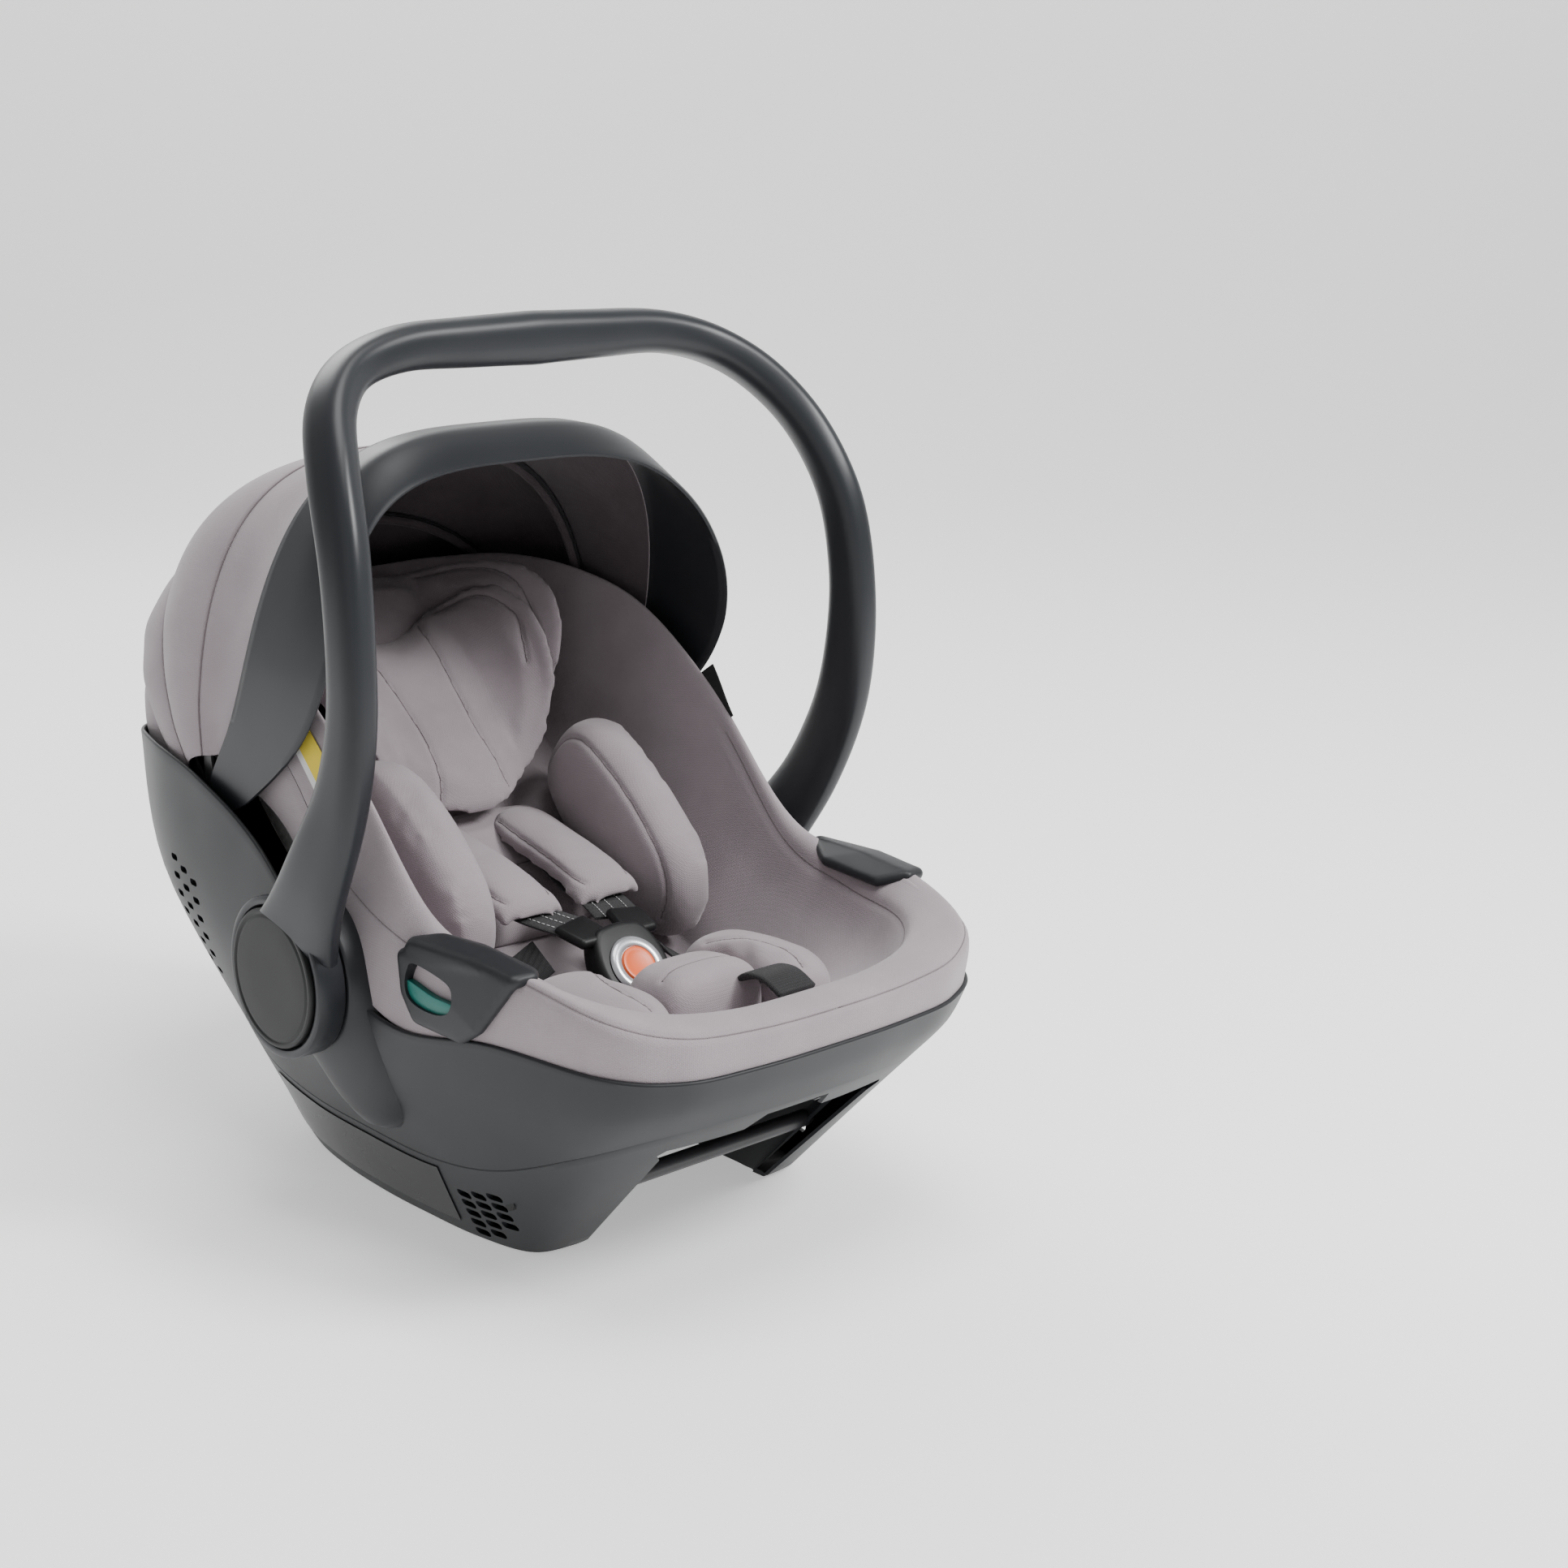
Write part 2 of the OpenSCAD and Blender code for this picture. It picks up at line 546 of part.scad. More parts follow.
module head_insert() {
    color([0.62, 0.57, 0.58]) {
        blob([[on_back(-56, 128, 28), 8], [on_back(56, 128, 28), 8], [on_back(-48, 236, 50), 8],
            [on_back(48, 236, 50), 8], [on_back(0, 104, 22), 8]]);
        for (s = [-1, 1])
            blob([[on_back(s * 64, 140, 36), 8], [on_back(s * 66, 238, 54), 8], [on_back(s * 71, 205, 76), 8],
                [on_back(s * 72, 152, 66), 8]]);
    }
}

module newborn_insert() {
    color([0.58, 0.53, 0.54])
        blob([for (x = [-62, 62]) for (v = [-10, 84]) [on_back(x, v, 9), 6]]);
}

module bolster(side) {
    color([0.6, 0.55, 0.56])
        mirrored(side)
            blob([[on_back(93, 98, 22), 9], [on_back(95, 94, 62), 9], [on_back(98, 52, 82), 10],
                [on_back(99, -10, 80), 10], [on_back(97, -34, 40), 9], [on_back(94, 0, 22), 10]]);
}

module leg_pad(side) {
    color([0.6, 0.55, 0.56])
        mirrored(side)
            blob([[[50, -116, 143], 9], [[84, -112, 155], 9], [[58, -196, 165], 8], [[80, -190, 168], 8],
                [[68, -130, 170], 9]]);
}

module shoulder_pad(side) {
    color([0.6, 0.55, 0.56])
        mirrored(side)
            blob([[[20, 62, 226], 6], [[58, 62, 226], 6], [[18, -36, 202], 6], [[50, -36, 203], 6]]);
}

strap_t = 1.8;
module shoulder_strap(side) {
    color([0.05, 0.05, 0.05])
        mirrored(side)
            strap([[36, 46, 211], [35, 20, 205], [33, -10, 194], [30, -36, 190], [26, -52, 188], [20, -70, 186]],
                38, strap_t);
}

module tongue(side) {
    color([0.07, 0.07, 0.08])
        mirrored(side)
            blob([[[8, -92, 182.5], 4], [[34, -72, 187], 4], [[13, -70, 189.5], 4], [[30, -92, 182.5], 4]]);
}

module lap_strap(side) {
    color([0.05, 0.05, 0.05])
        mirrored(side)
            strap([[88, -44, 141], [72, -52, 148], [56, -60, 160], [44, -66, 170]], 36, strap_t);
}

buckle_tilt = 50;   // angle of the buckle's face from facing straight up
buckle_at = [0, -104, 164];
module buckle_frame() {
    translate(buckle_at) rotate([buckle_tilt, 0, 0]) children();
}

module rounded_plate(w, l, h, r) {
    linear_extrude(h) hull() for (x = [-1, 1]) for (y = [-1, 1])
        translate([x * (w / 2 - r), y * (l / 2 - r)]) circle(r = r, $fn = 48);
}

button_r = 13;
module buckle_body() {
    color([0.05, 0.05, 0.05])
        buckle_frame()
            difference() {
                translate([0, 0, -12]) rounded_plate(56, 58, 20, 12);
                translate([0, -4, 0]) cylinder(r = button_r + 0.4, h = 20, $fn = 64);
            }
}

module buckle_bezel() {
    color([0.6, 0.61, 0.63])
        buckle_frame()
            difference() {
                translate([0, -4, 8]) cylinder(r1 = 21, r2 = 18, h = 3, $fn = 64);
                translate([0, -4, 7]) cylinder(r = button_r + 0.4, h = 5, $fn = 64);
            }
}

module buckle_button() {
    color([0.95, 0.33, 0.16])
        buckle_frame()
            translate([0, -4, 4]) cylinder(r = button_r, h = 7.5, $fn = 64);
}

module crotch_pad() {
    color([0.62, 0.57, 0.58])
        blob([for (x = [-24, 24]) for (p = [[-166, 147], [-140, 146], [-144, 164]]) [[x, p[0], p[1]], 6.5]]);
}

module crotch_strap() {
    color([0.05, 0.05, 0.05])
        strap([[0, -96, 129], [0, -93, 137], [0, -90, 146]], 38, strap_t);
}

// ---- Harness adjuster under the cover ----

adjuster_at = [0, -165, 106];
adjuster_tilt = -13.8;      // the housing lies on the pan's slope
lever_pin = 8;              // the lever's pin stands this far behind the middle of its housing
module adjuster_frame() {
    translate(adjuster_at) rotate([adjuster_tilt, 0, 0]) children();
}

module adjuster_housing() {
    color([0.2, 0.2, 0.21])
        adjuster_frame()
            difference() {
                translate([-26, -22, 0]) cube([52, 44, 13]);
                translate([-22.5, -18.5, 2]) cube([45, 37, 20]);
                translate([0, lever_pin, 10]) rotate([0, 90, 0]) cylinder(r = 2, h = 60, center = true, $fn = 32);
            }
}

module adjuster_lever() {
    color([0.6, 0.6, 0.62])
        adjuster_frame()
            translate([0, 0, 10]) {
                translate([0, lever_pin, 0]) rotate([0, 90, 0]) cylinder(r = 1.95, h = 51, center = true, $fn = 32);
                translate([-21, -14, -0.8]) cube([42, 24, 2]);
            }
}

module adjuster_strap() {
    color([0.05, 0.05, 0.05])
        strap([[31, -198, 161], [31, -206, 164], [31, -217, 169], [31, -230, 175]], 34, 4);
}

module side_tag() {
    color([0.05, 0.05, 0.05])
        translate([162, -10, 312]) rotate([56, 0, 0]) cube([1.2, 42, 22], center = true);
}

place() outer_shell();
place() base_skirt();
place() foam_liner();
place() seat_cover();
place() front_cross_bar();
place() rear_cross_bar();
place() latch_bracket();
place() skirt_screws();
place() vent_plug(-1);  // vent_plug_left
place() vent_plug(1);  // vent_plug_right
place() hub_boss(-1);  // hub_boss_left
place() hub_boss(1);  // hub_boss_right
place() hub_axle(-1);  // hub_axle_left
place() hub_axle(1);  // hub_axle_right
place() lock_plate(-1);  // lock_plate_left
place() lock_plate(1);  // lock_plate_right
place() cap_spring(-1);  // cap_spring_left
place() cap_spring(1);  // cap_spring_right
place() handle();
place() hub_cap(-1);  // hub_cap_left
place() hub_cap(1);  // hub_cap_right
place() belt_guide(-1);  // belt_guide_left
place() belt_guide(1);  // belt_guide_right
place() guide_insert(-1);  // guide_insert_left
place() guide_insert(1);  // guide_insert_right
place() canopy_pivot(-1);  // canopy_pivot_left
place() canopy_pivot(1);  // canopy_pivot_right
place() canopy_rib_rear();
place() canopy_rib_front();
place() canopy_rim();
place() canopy_panel_tail();
place() canopy_panel_rear();
place() canopy_panel_middle();
place() canopy_panel_front();
place() headrest_shell();
place() headrest_pad();
place() head_insert();
place() newborn_insert();
place() bolster(-1);  // bolster_left
place() bolster(1);  // bolster_right
place() leg_pad(-1);  // leg_pad_left
place() leg_pad(1);  // leg_pad_right
place() shoulder_pad(-1);  // shoulder_pad_left
place() shoulder_pad(1);  // shoulder_pad_right
place() shoulder_strap(-1);  // shoulder_strap_left
place() shoulder_strap(1);  // shoulder_strap_right
place() tongue(-1);  // tongue_left
place() tongue(1);  // tongue_right
place() lap_strap(-1);  // lap_strap_left
place() lap_strap(1);  // lap_strap_right
place() buckle_body();
place() buckle_bezel();
place() buckle_button();
place() crotch_pad();
place() crotch_strap();
place() adjuster_housing();
place() adjuster_lever();
place() adjuster_strap();
place() side_tag();
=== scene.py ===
"""Looks of the infant car seat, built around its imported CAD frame."""
import json
import math

import bmesh
import bpy
import numpy as np
from mathutils import Matrix, Vector
from mathutils.bvhtree import BVHTree

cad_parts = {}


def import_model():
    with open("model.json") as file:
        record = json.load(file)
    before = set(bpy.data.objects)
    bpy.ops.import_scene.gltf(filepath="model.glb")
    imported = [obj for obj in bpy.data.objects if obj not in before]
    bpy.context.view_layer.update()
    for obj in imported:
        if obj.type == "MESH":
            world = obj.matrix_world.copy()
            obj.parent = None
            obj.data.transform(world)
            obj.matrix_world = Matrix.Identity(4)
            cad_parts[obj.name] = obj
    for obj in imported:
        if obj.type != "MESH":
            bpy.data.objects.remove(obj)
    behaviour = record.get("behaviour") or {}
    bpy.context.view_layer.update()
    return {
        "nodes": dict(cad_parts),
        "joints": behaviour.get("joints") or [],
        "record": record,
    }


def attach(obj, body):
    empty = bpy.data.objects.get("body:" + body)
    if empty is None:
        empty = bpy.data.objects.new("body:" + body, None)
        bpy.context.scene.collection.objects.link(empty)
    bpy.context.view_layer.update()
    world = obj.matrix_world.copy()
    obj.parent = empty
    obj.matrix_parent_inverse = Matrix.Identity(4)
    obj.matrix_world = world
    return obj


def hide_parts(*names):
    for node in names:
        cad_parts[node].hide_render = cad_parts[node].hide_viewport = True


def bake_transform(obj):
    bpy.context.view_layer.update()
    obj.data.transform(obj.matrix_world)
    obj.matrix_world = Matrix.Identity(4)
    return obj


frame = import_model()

MM = 0.001
JOINTS = {joint["name"]: joint for joint in frame["joints"]}
HUB = Vector(JOINTS["handle_turn"]["pos_m"])      # the handle axis
PIVOT = Vector(JOINTS["canopy_fold"]["pos_m"])    # the canopy axis
HUB_Z = HUB.z / MM
PIVOT_Y = (PIVOT.y - HUB.y) / MM
PIVOT_Z = PIVOT.z / MM
SIDES = {"left": -1, "right": 1}
AROUND = 240                                      # points round each outline of the shell


# ---- Shapes: all in millimetres, with y counted from the handle axis ----

def world(points):
    """Millimetres from the handle axis to metres in the frame."""
    return np.asarray(points, float) * MM + np.array([0.0, HUB.y, 0.0])


def spline(a, b, c, d, t):
    return 0.5 * (2 * b + (c - a) * t + (2 * a - 5 * b + 4 * c - d) * t ** 2
                  + (3 * b - a - 3 * c + d) * t ** 3)


def loop_at(points, u):
    """A point on the closed smooth curve through points, for u from 0 to 1."""
    n = len(points)
    k = int(math.floor(u * n))
    return spline(points[(k - 1) % n], points[k % n], points[(k + 1) % n], points[(k + 2) % n], u * n - k)


def round_loop(points, count):
    points = np.asarray(points, float)
    return np.array([loop_at(points, i / count) for i in range(count)])


def path_at(points, u):
    """A point on the open smooth curve through points, for u from 0 to 1."""
    n = len(points) - 1
    k = min(int(math.floor(u * n)), n - 1)
    return spline(points[max(k - 1, 0)], points[k], points[k + 1], points[min(k + 2, n)], u * n - k)


def smooth_path(points, count):
    points = np.asarray(points, float)
    return np.array([path_at(points, i / (count - 1)) for i in range(count)])


def outline(half):
    """A ring from its right half, front centre to rear centre."""
    half = np.asarray(half, float)
    ring = np.vstack([half, half[-2:0:-1] * [-1, 1, 1]])
    return round_loop(ring, AROUND)


def inset(ring, d, dz=0.0):
    along = np.roll(ring, -1, 0) - np.roll(ring, 1, 0)
    length = np.hypot(along[:, 0], along[:, 1])
    inward = np.stack([-along[:, 1] / length, along[:, 0] / length, np.zeros(len(ring))], 1)
    return ring + inward * d + [0, 0, dz]


def levels(rings, ts):
    """Rings at the fractions ts up a stack of rings, smooth from one to the next."""
    rings = np.asarray(rings)
    return [path_at(rings, t) for t in ts]


def shrunk(ring, s, line, dz):
    """A ring shrunk about its middle, with its heights taken from a line along Y."""
    line = np.asarray(line, float)
    middle = ring[:, 1].mean()
    y = middle + (ring[:, 1] - middle) * s
    rise = ring[:, 2] - np.interp(ring[:, 1], line[:, 0], line[:, 1])
    return np.stack([ring[:, 0] * s, y, np.interp(y, line[:, 0], line[:, 1]) + rise * s ** 3 + dz], 1)


def squircle(t, n):
    c, s = math.cos(t), math.sin(t)
    k = (abs(c) ** n + abs(s) ** n) ** (1 / n)
    return c / k, s / k


def turns(count):
    """Evenly spaced angles once round."""
    return np.linspace(0, 2 * math.pi, count, endpoint=False)


def unit(v):
    return v / np.linalg.norm(v)


def mirrored(points, side):
    return np.asarray(points, float) * [side, 1, 1]


RECLINE = math.radians(40)
BACK = np.array([0.0, 20.0, 160.0])


def on_back(x, v, n):
    """A point v up the backrest and n off it."""
    c, s = math.cos(RECLINE), math.sin(RECLINE)
    return BACK + [x, v * c - n * s, v * s + n * c]


# ---- Materials ----

def new_material(name, color, roughness, **values):
    material = bpy.data.materials.new(name)
    material.use_nodes = True
    shader = shader_of(material)
    shader.inputs["Base Color"].default_value = (*color, 1)
    shader.inputs["Roughness"].default_value = roughness
    for key, value in values.items():
        shader.inputs[key.replace("_", " ")].default_value = value
    return material


def add(material, kind, **values):
    node = material.node_tree.nodes.new(kind)
    for key, value in values.items():
        socket = key.replace("_", " ")
        if socket in node.inputs:
            node.inputs[socket].default_value = value
        else:
            setattr(node, key, value)
    return node


def link(material, source, target):
    material.node_tree.links.new(source, target)


def shader_of(material):
    return material.node_tree.nodes["Principled BSDF"]


def place_coords(material):
    return add(material, "ShaderNodeTexCoord").outputs["Object"]


def noise(material, coords, scale, detail):
    node = add(material, "ShaderNodeTexNoise", Scale=scale, Detail=detail)
    link(material, coords, node.inputs["Vector"])
    return node.outputs["Fac"]


def tint(material, coords, color_a, color_b, scale, detail=3.0):
    """Slow variation between two colours."""
    spots = noise(material, coords, scale, detail)
    ramp = add(material, "ShaderNodeValToRGB")
    ramp.color_ramp.elements[0].position = 0.35
    ramp.color_ramp.elements[0].color = (*color_a, 1)
    ramp.color_ramp.elements[1].position = 0.65
    ramp.color_ramp.elements[1].color = (*color_b, 1)
    link(material, spots, ramp.inputs["Fac"])
    link(material, ramp.outputs["Color"], shader_of(material).inputs["Base Color"])


def bump(material, height, strength, distance):
    node = add(material, "ShaderNodeBump", Strength=strength, Distance=distance)
    link(material, height, node.inputs["Height"])
    link(material, node.outputs["Normal"], shader_of(material).inputs["Normal"])


def threads(material, coords, pitch):
    """A knit of threads at that pitch in metres, the same on surfaces of any slope."""
    scaled = add(material, "ShaderNodeVectorMath", operation="SCALE")
    scaled.inputs["Scale"].default_value = 2 * math.pi / pitch
    waves = add(material, "ShaderNodeVectorMath", operation="SINE")
    axes = add(material, "ShaderNodeSeparateXYZ")
    link(material, coords, scaled.inputs[0])
    link(material, scaled.outputs[0], waves.inputs[0])
    link(material, waves.outputs[0], axes.inputs[0])
    total = None
    for a, b in (("X", "Y"), ("Y", "Z"), ("Z", "X")):
        product = add(material, "ShaderNodeMath", operation="MULTIPLY")
        link(material, axes.outputs[a], product.inputs[0])
        link(material, axes.outputs[b], product.inputs[1])
        if total is None:
            total = product
        else:
            both = add(material, "ShaderNodeMath", operation="ADD")
            link(material, total.outputs[0], both.inputs[0])
            link(material, product.outputs[0], both.inputs[1])
            total = both
    return total.outputs[0]


def fabric(name, dark, light, pitch=0.0016, strength=0.22, sheen=0.35, roughness=0.88):
    material = new_material(name, light, roughness, Sheen_Weight=sheen, Sheen_Roughness=0.5,
                            Specular_IOR_Level=0.25)
    coords = place_coords(material)
    tint(material, coords, dark, light, 34.0, 6.0)
    knit = threads(material, coords, pitch)
    fuzz = noise(material, coords, 1400.0, 2.0)
    height = add(material, "ShaderNodeMath", operation="ADD")
    link(material, knit, height.inputs[0])
    link(material, fuzz, height.inputs[1])
    bump(material, height.outputs[0], strength, 0.0004)
    return material


def plastic(name, dark, light, roughness=0.42, grain=0.12, **values):
    """Moulded plastic with a fine spark-eroded texture and a slightly uneven gloss."""
    material = new_material(name, light, roughness, Specular_IOR_Level=0.32, **values)
    coords = place_coords(material)
    tint(material, coords, dark, light, 9.0)
    gloss = noise(material, coords, 14.0, 4.0)
    spread = add(material, "ShaderNodeMapRange", To_Min=roughness - 0.05, To_Max=roughness + 0.07)
    link(material, gloss, spread.inputs["Value"])
    link(material, spread.outputs["Result"], shader_of(material).inputs["Roughness"])
    bump(material, noise(material, coords, 1900.0, 2.0), grain, 0.0003)
    return material


def steel(name, dark, light, roughness, metallic=1.0):
    material = new_material(name, light, roughness, Metallic=metallic)
    coords = place_coords(material)
    tint(material, coords, dark, light, 40.0, 5.0)
    bump(material, noise(material, coords, 320.0, 3.0), 0.08, 0.0003)
    return material


def foam_beads(name, dark, light):
    material = new_material(name, light, 0.8)
    coords = place_coords(material)
    tint(material, coords, dark, light, 60.0)
    beads = add(material, "ShaderNodeTexVoronoi", Scale=260.0)
    link(material, coords, beads.inputs["Vector"])
    bump(material, beads.outputs["Distance"], 0.5, 0.0008)
    return material


MATERIALS = {
    "shell_plastic": plastic("shell_plastic", (0.0150, 0.0162, 0.0182), (0.0180, 0.0196, 0.0222), 0.44),
    "handle_plastic": plastic("handle_plastic", (0.0165, 0.0182, 0.0212), (0.0200, 0.0220, 0.0256), 0.34),
    "black_plastic": plastic("black_plastic", (0.0050, 0.0053, 0.0058), (0.0070, 0.0074, 0.0082), 0.46),
    "foam": foam_beads("foam", (0.72, 0.72, 0.70), (0.84, 0.84, 0.82)),
    "cover_fabric": fabric("cover_fabric", (0.300, 0.258, 0.278), (0.325, 0.280, 0.301)),
    "canopy_fabric": fabric("canopy_fabric", (0.290, 0.250, 0.270), (0.312, 0.270, 0.291), sheen=0.25),
    "black_steel": steel("black_steel", (0.018, 0.018, 0.02), (0.026, 0.026, 0.029), 0.38, 0.0),
    "bright_steel": steel("bright_steel", (0.50, 0.50, 0.52), (0.62, 0.62, 0.63), 0.32),
    "green_plastic": plastic("green_plastic", (0.008, 0.125, 0.105), (0.012, 0.150, 0.125), 0.35),
    "webbing": fabric("webbing", (0.010, 0.010, 0.011), (0.018, 0.018, 0.020), 0.0011, 0.6, 0.15, 0.7),
    "bezel": plastic("bezel", (0.40, 0.41, 0.43), (0.50, 0.51, 0.53), 0.26, 0.03, Metallic=0.6),
    "button_orange": plastic("button_orange", (0.80, 0.125, 0.030), (0.88, 0.155, 0.040), 0.32, 0.04),
    "tag": fabric("tag", (0.010, 0.010, 0.010), (0.016, 0.016, 0.017), 0.0009, 0.3, 0.1),
}
LINING = fabric("canopy_lining", (0.060, 0.048, 0.053), (0.072, 0.058, 0.064), sheen=0.2)
SEAM = fabric("seam_thread", (0.16, 0.13, 0.14), (0.20, 0.165, 0.175), 0.0012, 0.5)
THREAD = fabric("white_thread", (0.55, 0.55, 0.56), (0.70, 0.70, 0.71), 0.0012, 0.4)
LABEL = plastic("blank_label", (0.0035, 0.0038, 0.0045), (0.0048, 0.0052, 0.0060), 0.26, 0.02)
YELLOW = fabric("yellow_label", (0.72, 0.56, 0.03), (0.80, 0.62, 0.04), 0.001, 0.2)
WHITE = fabric("white_label", (0.66, 0.66, 0.66), (0.74, 0.74, 0.74), 0.001, 0.2)


# ---- Meshes and pieces ----

def surface(rings, closed=False):
    """Vertices and faces of a skin over rings of equal length, each of them a closed loop."""
    rings = np.asarray(rings, float)
    m, n = rings.shape[:2]
    points = rings.reshape(-1, 3)
    last = m if closed else m - 1
    faces = [(i * n + j, i * n + (j + 1) % n, ((i + 1) % m) * n + (j + 1) % n, ((i + 1) % m) * n + j)
             for i in range(last) for j in range(n)]
    if not closed:
        points = np.vstack([points, rings[0].mean(0), rings[-1].mean(0)])
        faces += [(m * n, (j + 1) % n, j) for j in range(n)]
        faces += [(m * n + 1, (m - 1) * n + j, (m - 1) * n + (j + 1) % n) for j in range(n)]
    return points, faces


def in_scene(name, data):
    made = bpy.data.objects.new(name, data)
    bpy.context.scene.collection.objects.link(made)
    return made


def from_bmesh(name, work, materials):
    mesh = bpy.data.meshes.new(name)
    work.to_mesh(mesh)
    work.free()
    for material in materials:
        mesh.materials.append(material)
    return in_scene(name, mesh)


def sheet_surface(rows):
    """Vertices and faces of an open sheet over rows of points."""
    rows = np.asarray(rows, float)
    m, n = rows.shape[:2]
    faces = [(i * n + j, i * n + j + 1, (i + 1) * n + j + 1, (i + 1) * n + j)
             for i in range(m - 1) for j in range(n - 1)]
    return rows.reshape(-1, 3), faces


def new_object(name, points, faces, material):
    """An object from points in millimetres, with its faces turned outwards."""
    mesh = bpy.data.meshes.new(name)
    mesh.from_pydata([tuple(p) for p in world(points)], [], faces)
    made = in_scene(name, mesh)
    mesh.materials.append(material)
    tidy_normals(made)
    return made


def tidy_normals(made):
    work = bmesh.new()
    work.from_mesh(made.data)
    bmesh.ops.remove_doubles(work, verts=work.verts, dist=1e-6)
    bmesh.ops.recalc_face_normals(work, faces=work.faces)
    work.to_mesh(made.data)
    work.free()


def smooth(made, sharp=None):
    made.data.shade_smooth()
    if sharp is not None:
        made.data.set_sharp_from_angle(angle=math.radians(sharp))


def apply_modifiers(made):
    bpy.context.view_layer.update()
    graph = bpy.context.evaluated_depsgraph_get()
    mesh = bpy.data.meshes.new_from_object(made.evaluated_get(graph))
    made.modifiers.clear()
    made.data = mesh


def modify(made, kind, **values):
    modifier = made.modifiers.new(kind, kind)
    for key, value in values.items():
        setattr(modifier, key, value)
    return modifier


def subdivide(made):
    modify(made, "SUBSURF", levels=1, render_levels=1)
    apply_modifiers(made)


def thicken(made, thickness, offset=-1.0):
    modify(made, "SOLIDIFY", thickness=thickness * MM, offset=offset)
    apply_modifiers(made)


def bevel(made, width):
    modify(made, "BEVEL", width=width * MM, segments=3, limit_method="ANGLE", angle_limit=math.radians(40))
    apply_modifiers(made)


def cut(made, cutter):
    modify(made, "BOOLEAN", operation="DIFFERENCE", solver="EXACT", object=cutter)
    apply_modifiers(made)
    bpy.data.objects.remove(cutter)


def join(name, parts):
    """One object from several, with a shared list of materials."""
    work = bmesh.new()
    materials = []
    for part in parts:
        offset = len(work.faces)
        work.from_mesh(part.data)
        work.faces.ensure_lookup_table()
        own = list(part.data.materials)
        for m in own:
            if m not in materials:
                materials.append(m)
        for face in work.faces[offset:]:
            face.material_index = materials.index(own[face.material_index])
    for part in parts:
        bpy.data.objects.remove(part)
    return from_bmesh(name, work, materials)


def place(made, body, slot, *nodes):
    """Rides on a body and stands for CAD nodes. The slot is not used."""
    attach(made, body)
    if nodes:
        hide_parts(*nodes)


def tube(name, route, radius, material, sides):
    """A round tube through points in millimetres."""
    route = np.asarray(route, float)
    rings = []
    up = np.array([0.0, 0.0, 1.0])
    for i in range(len(route)):
        along = unit(route[min(i + 1, len(route) - 1)] - route[max(i - 1, 0)])
        a = np.cross(along, up)
        if np.linalg.norm(a) < 1e-6:
            a = np.array([1.0, 0.0, 0.0])
        a = unit(a)
        b = np.cross(along, a)
        up = unit(up - along * (up @ along)) if abs(up @ along) < 0.95 else a
        rings.append([route[i] + radius * (math.cos(q) * a + math.sin(q) * b)
                      for q in turns(sides)])
    made = new_object(name, *surface(rings), material)
    smooth(made)
    return made


def lathe(name, profile, side, material):
    """A solid turned about the X axis through the handle axis. profile holds (x, radius) pairs."""
    rings = [[[side * x, r * math.sin(q), HUB_Z + r * math.cos(q)] for q in turns(96)] for x, r in profile]
    made = new_object(name, *surface(rings), material)
    smooth(made, 35)
    return made


def grooved(made, route, width, depth):
    """Draws a seam into a surface: vertices near the route sink along their normals."""
    route = world(route)
    spots = np.array([v.co for v in made.data.vertices])
    normals = np.array([v.normal for v in made.data.vertices])
    nearest = np.full(len(spots), 1e9)
    for a, b in zip(route[:-1], route[1:]):
        t = np.clip(((spots - a) @ (b - a)) / ((b - a) @ (b - a)), 0, 1)
        nearest = np.minimum(nearest, np.linalg.norm(spots - (a + t[:, None] * (b - a)), axis=1))
    sink = depth * MM * np.exp(-(nearest / (width * MM)) ** 2)
    made.data.vertices.foreach_set("co", (spots - normals * sink[:, None]).ravel())
    made.data.update()


def ribbon(name, route, width, thickness, material, across=(1.0, 0.0, 0.0)):
    """A flat strap with rounded edges through points in millimetres."""
    count = 40
    route = smooth_path(route, count)
    section = [(c * width / 2, s) for c, s in
               [(-0.97, -1), (-1, -0.4), (-1, 0.4), (-0.97, 1), (-0.5, 1), (0, 1), (0.5, 1), (0.97, 1),
                (1, 0.4), (1, -0.4), (0.97, -1), (0.5, -1), (0, -1), (-0.5, -1)]]
    rings = []
    for i in range(count):
        along = unit(route[min(i + 1, count - 1)] - route[max(i - 1, 0)])
        side = unit(np.asarray(across) - along * (along @ np.asarray(across)))
        up = np.cross(along, side)
        rings.append([route[i] + side * c + up * (s * thickness / 2) for c, s in section])
    made = new_object(name, *surface(rings), material)
    smooth(made, 50)
    return made


# ---- Stage and camera ----

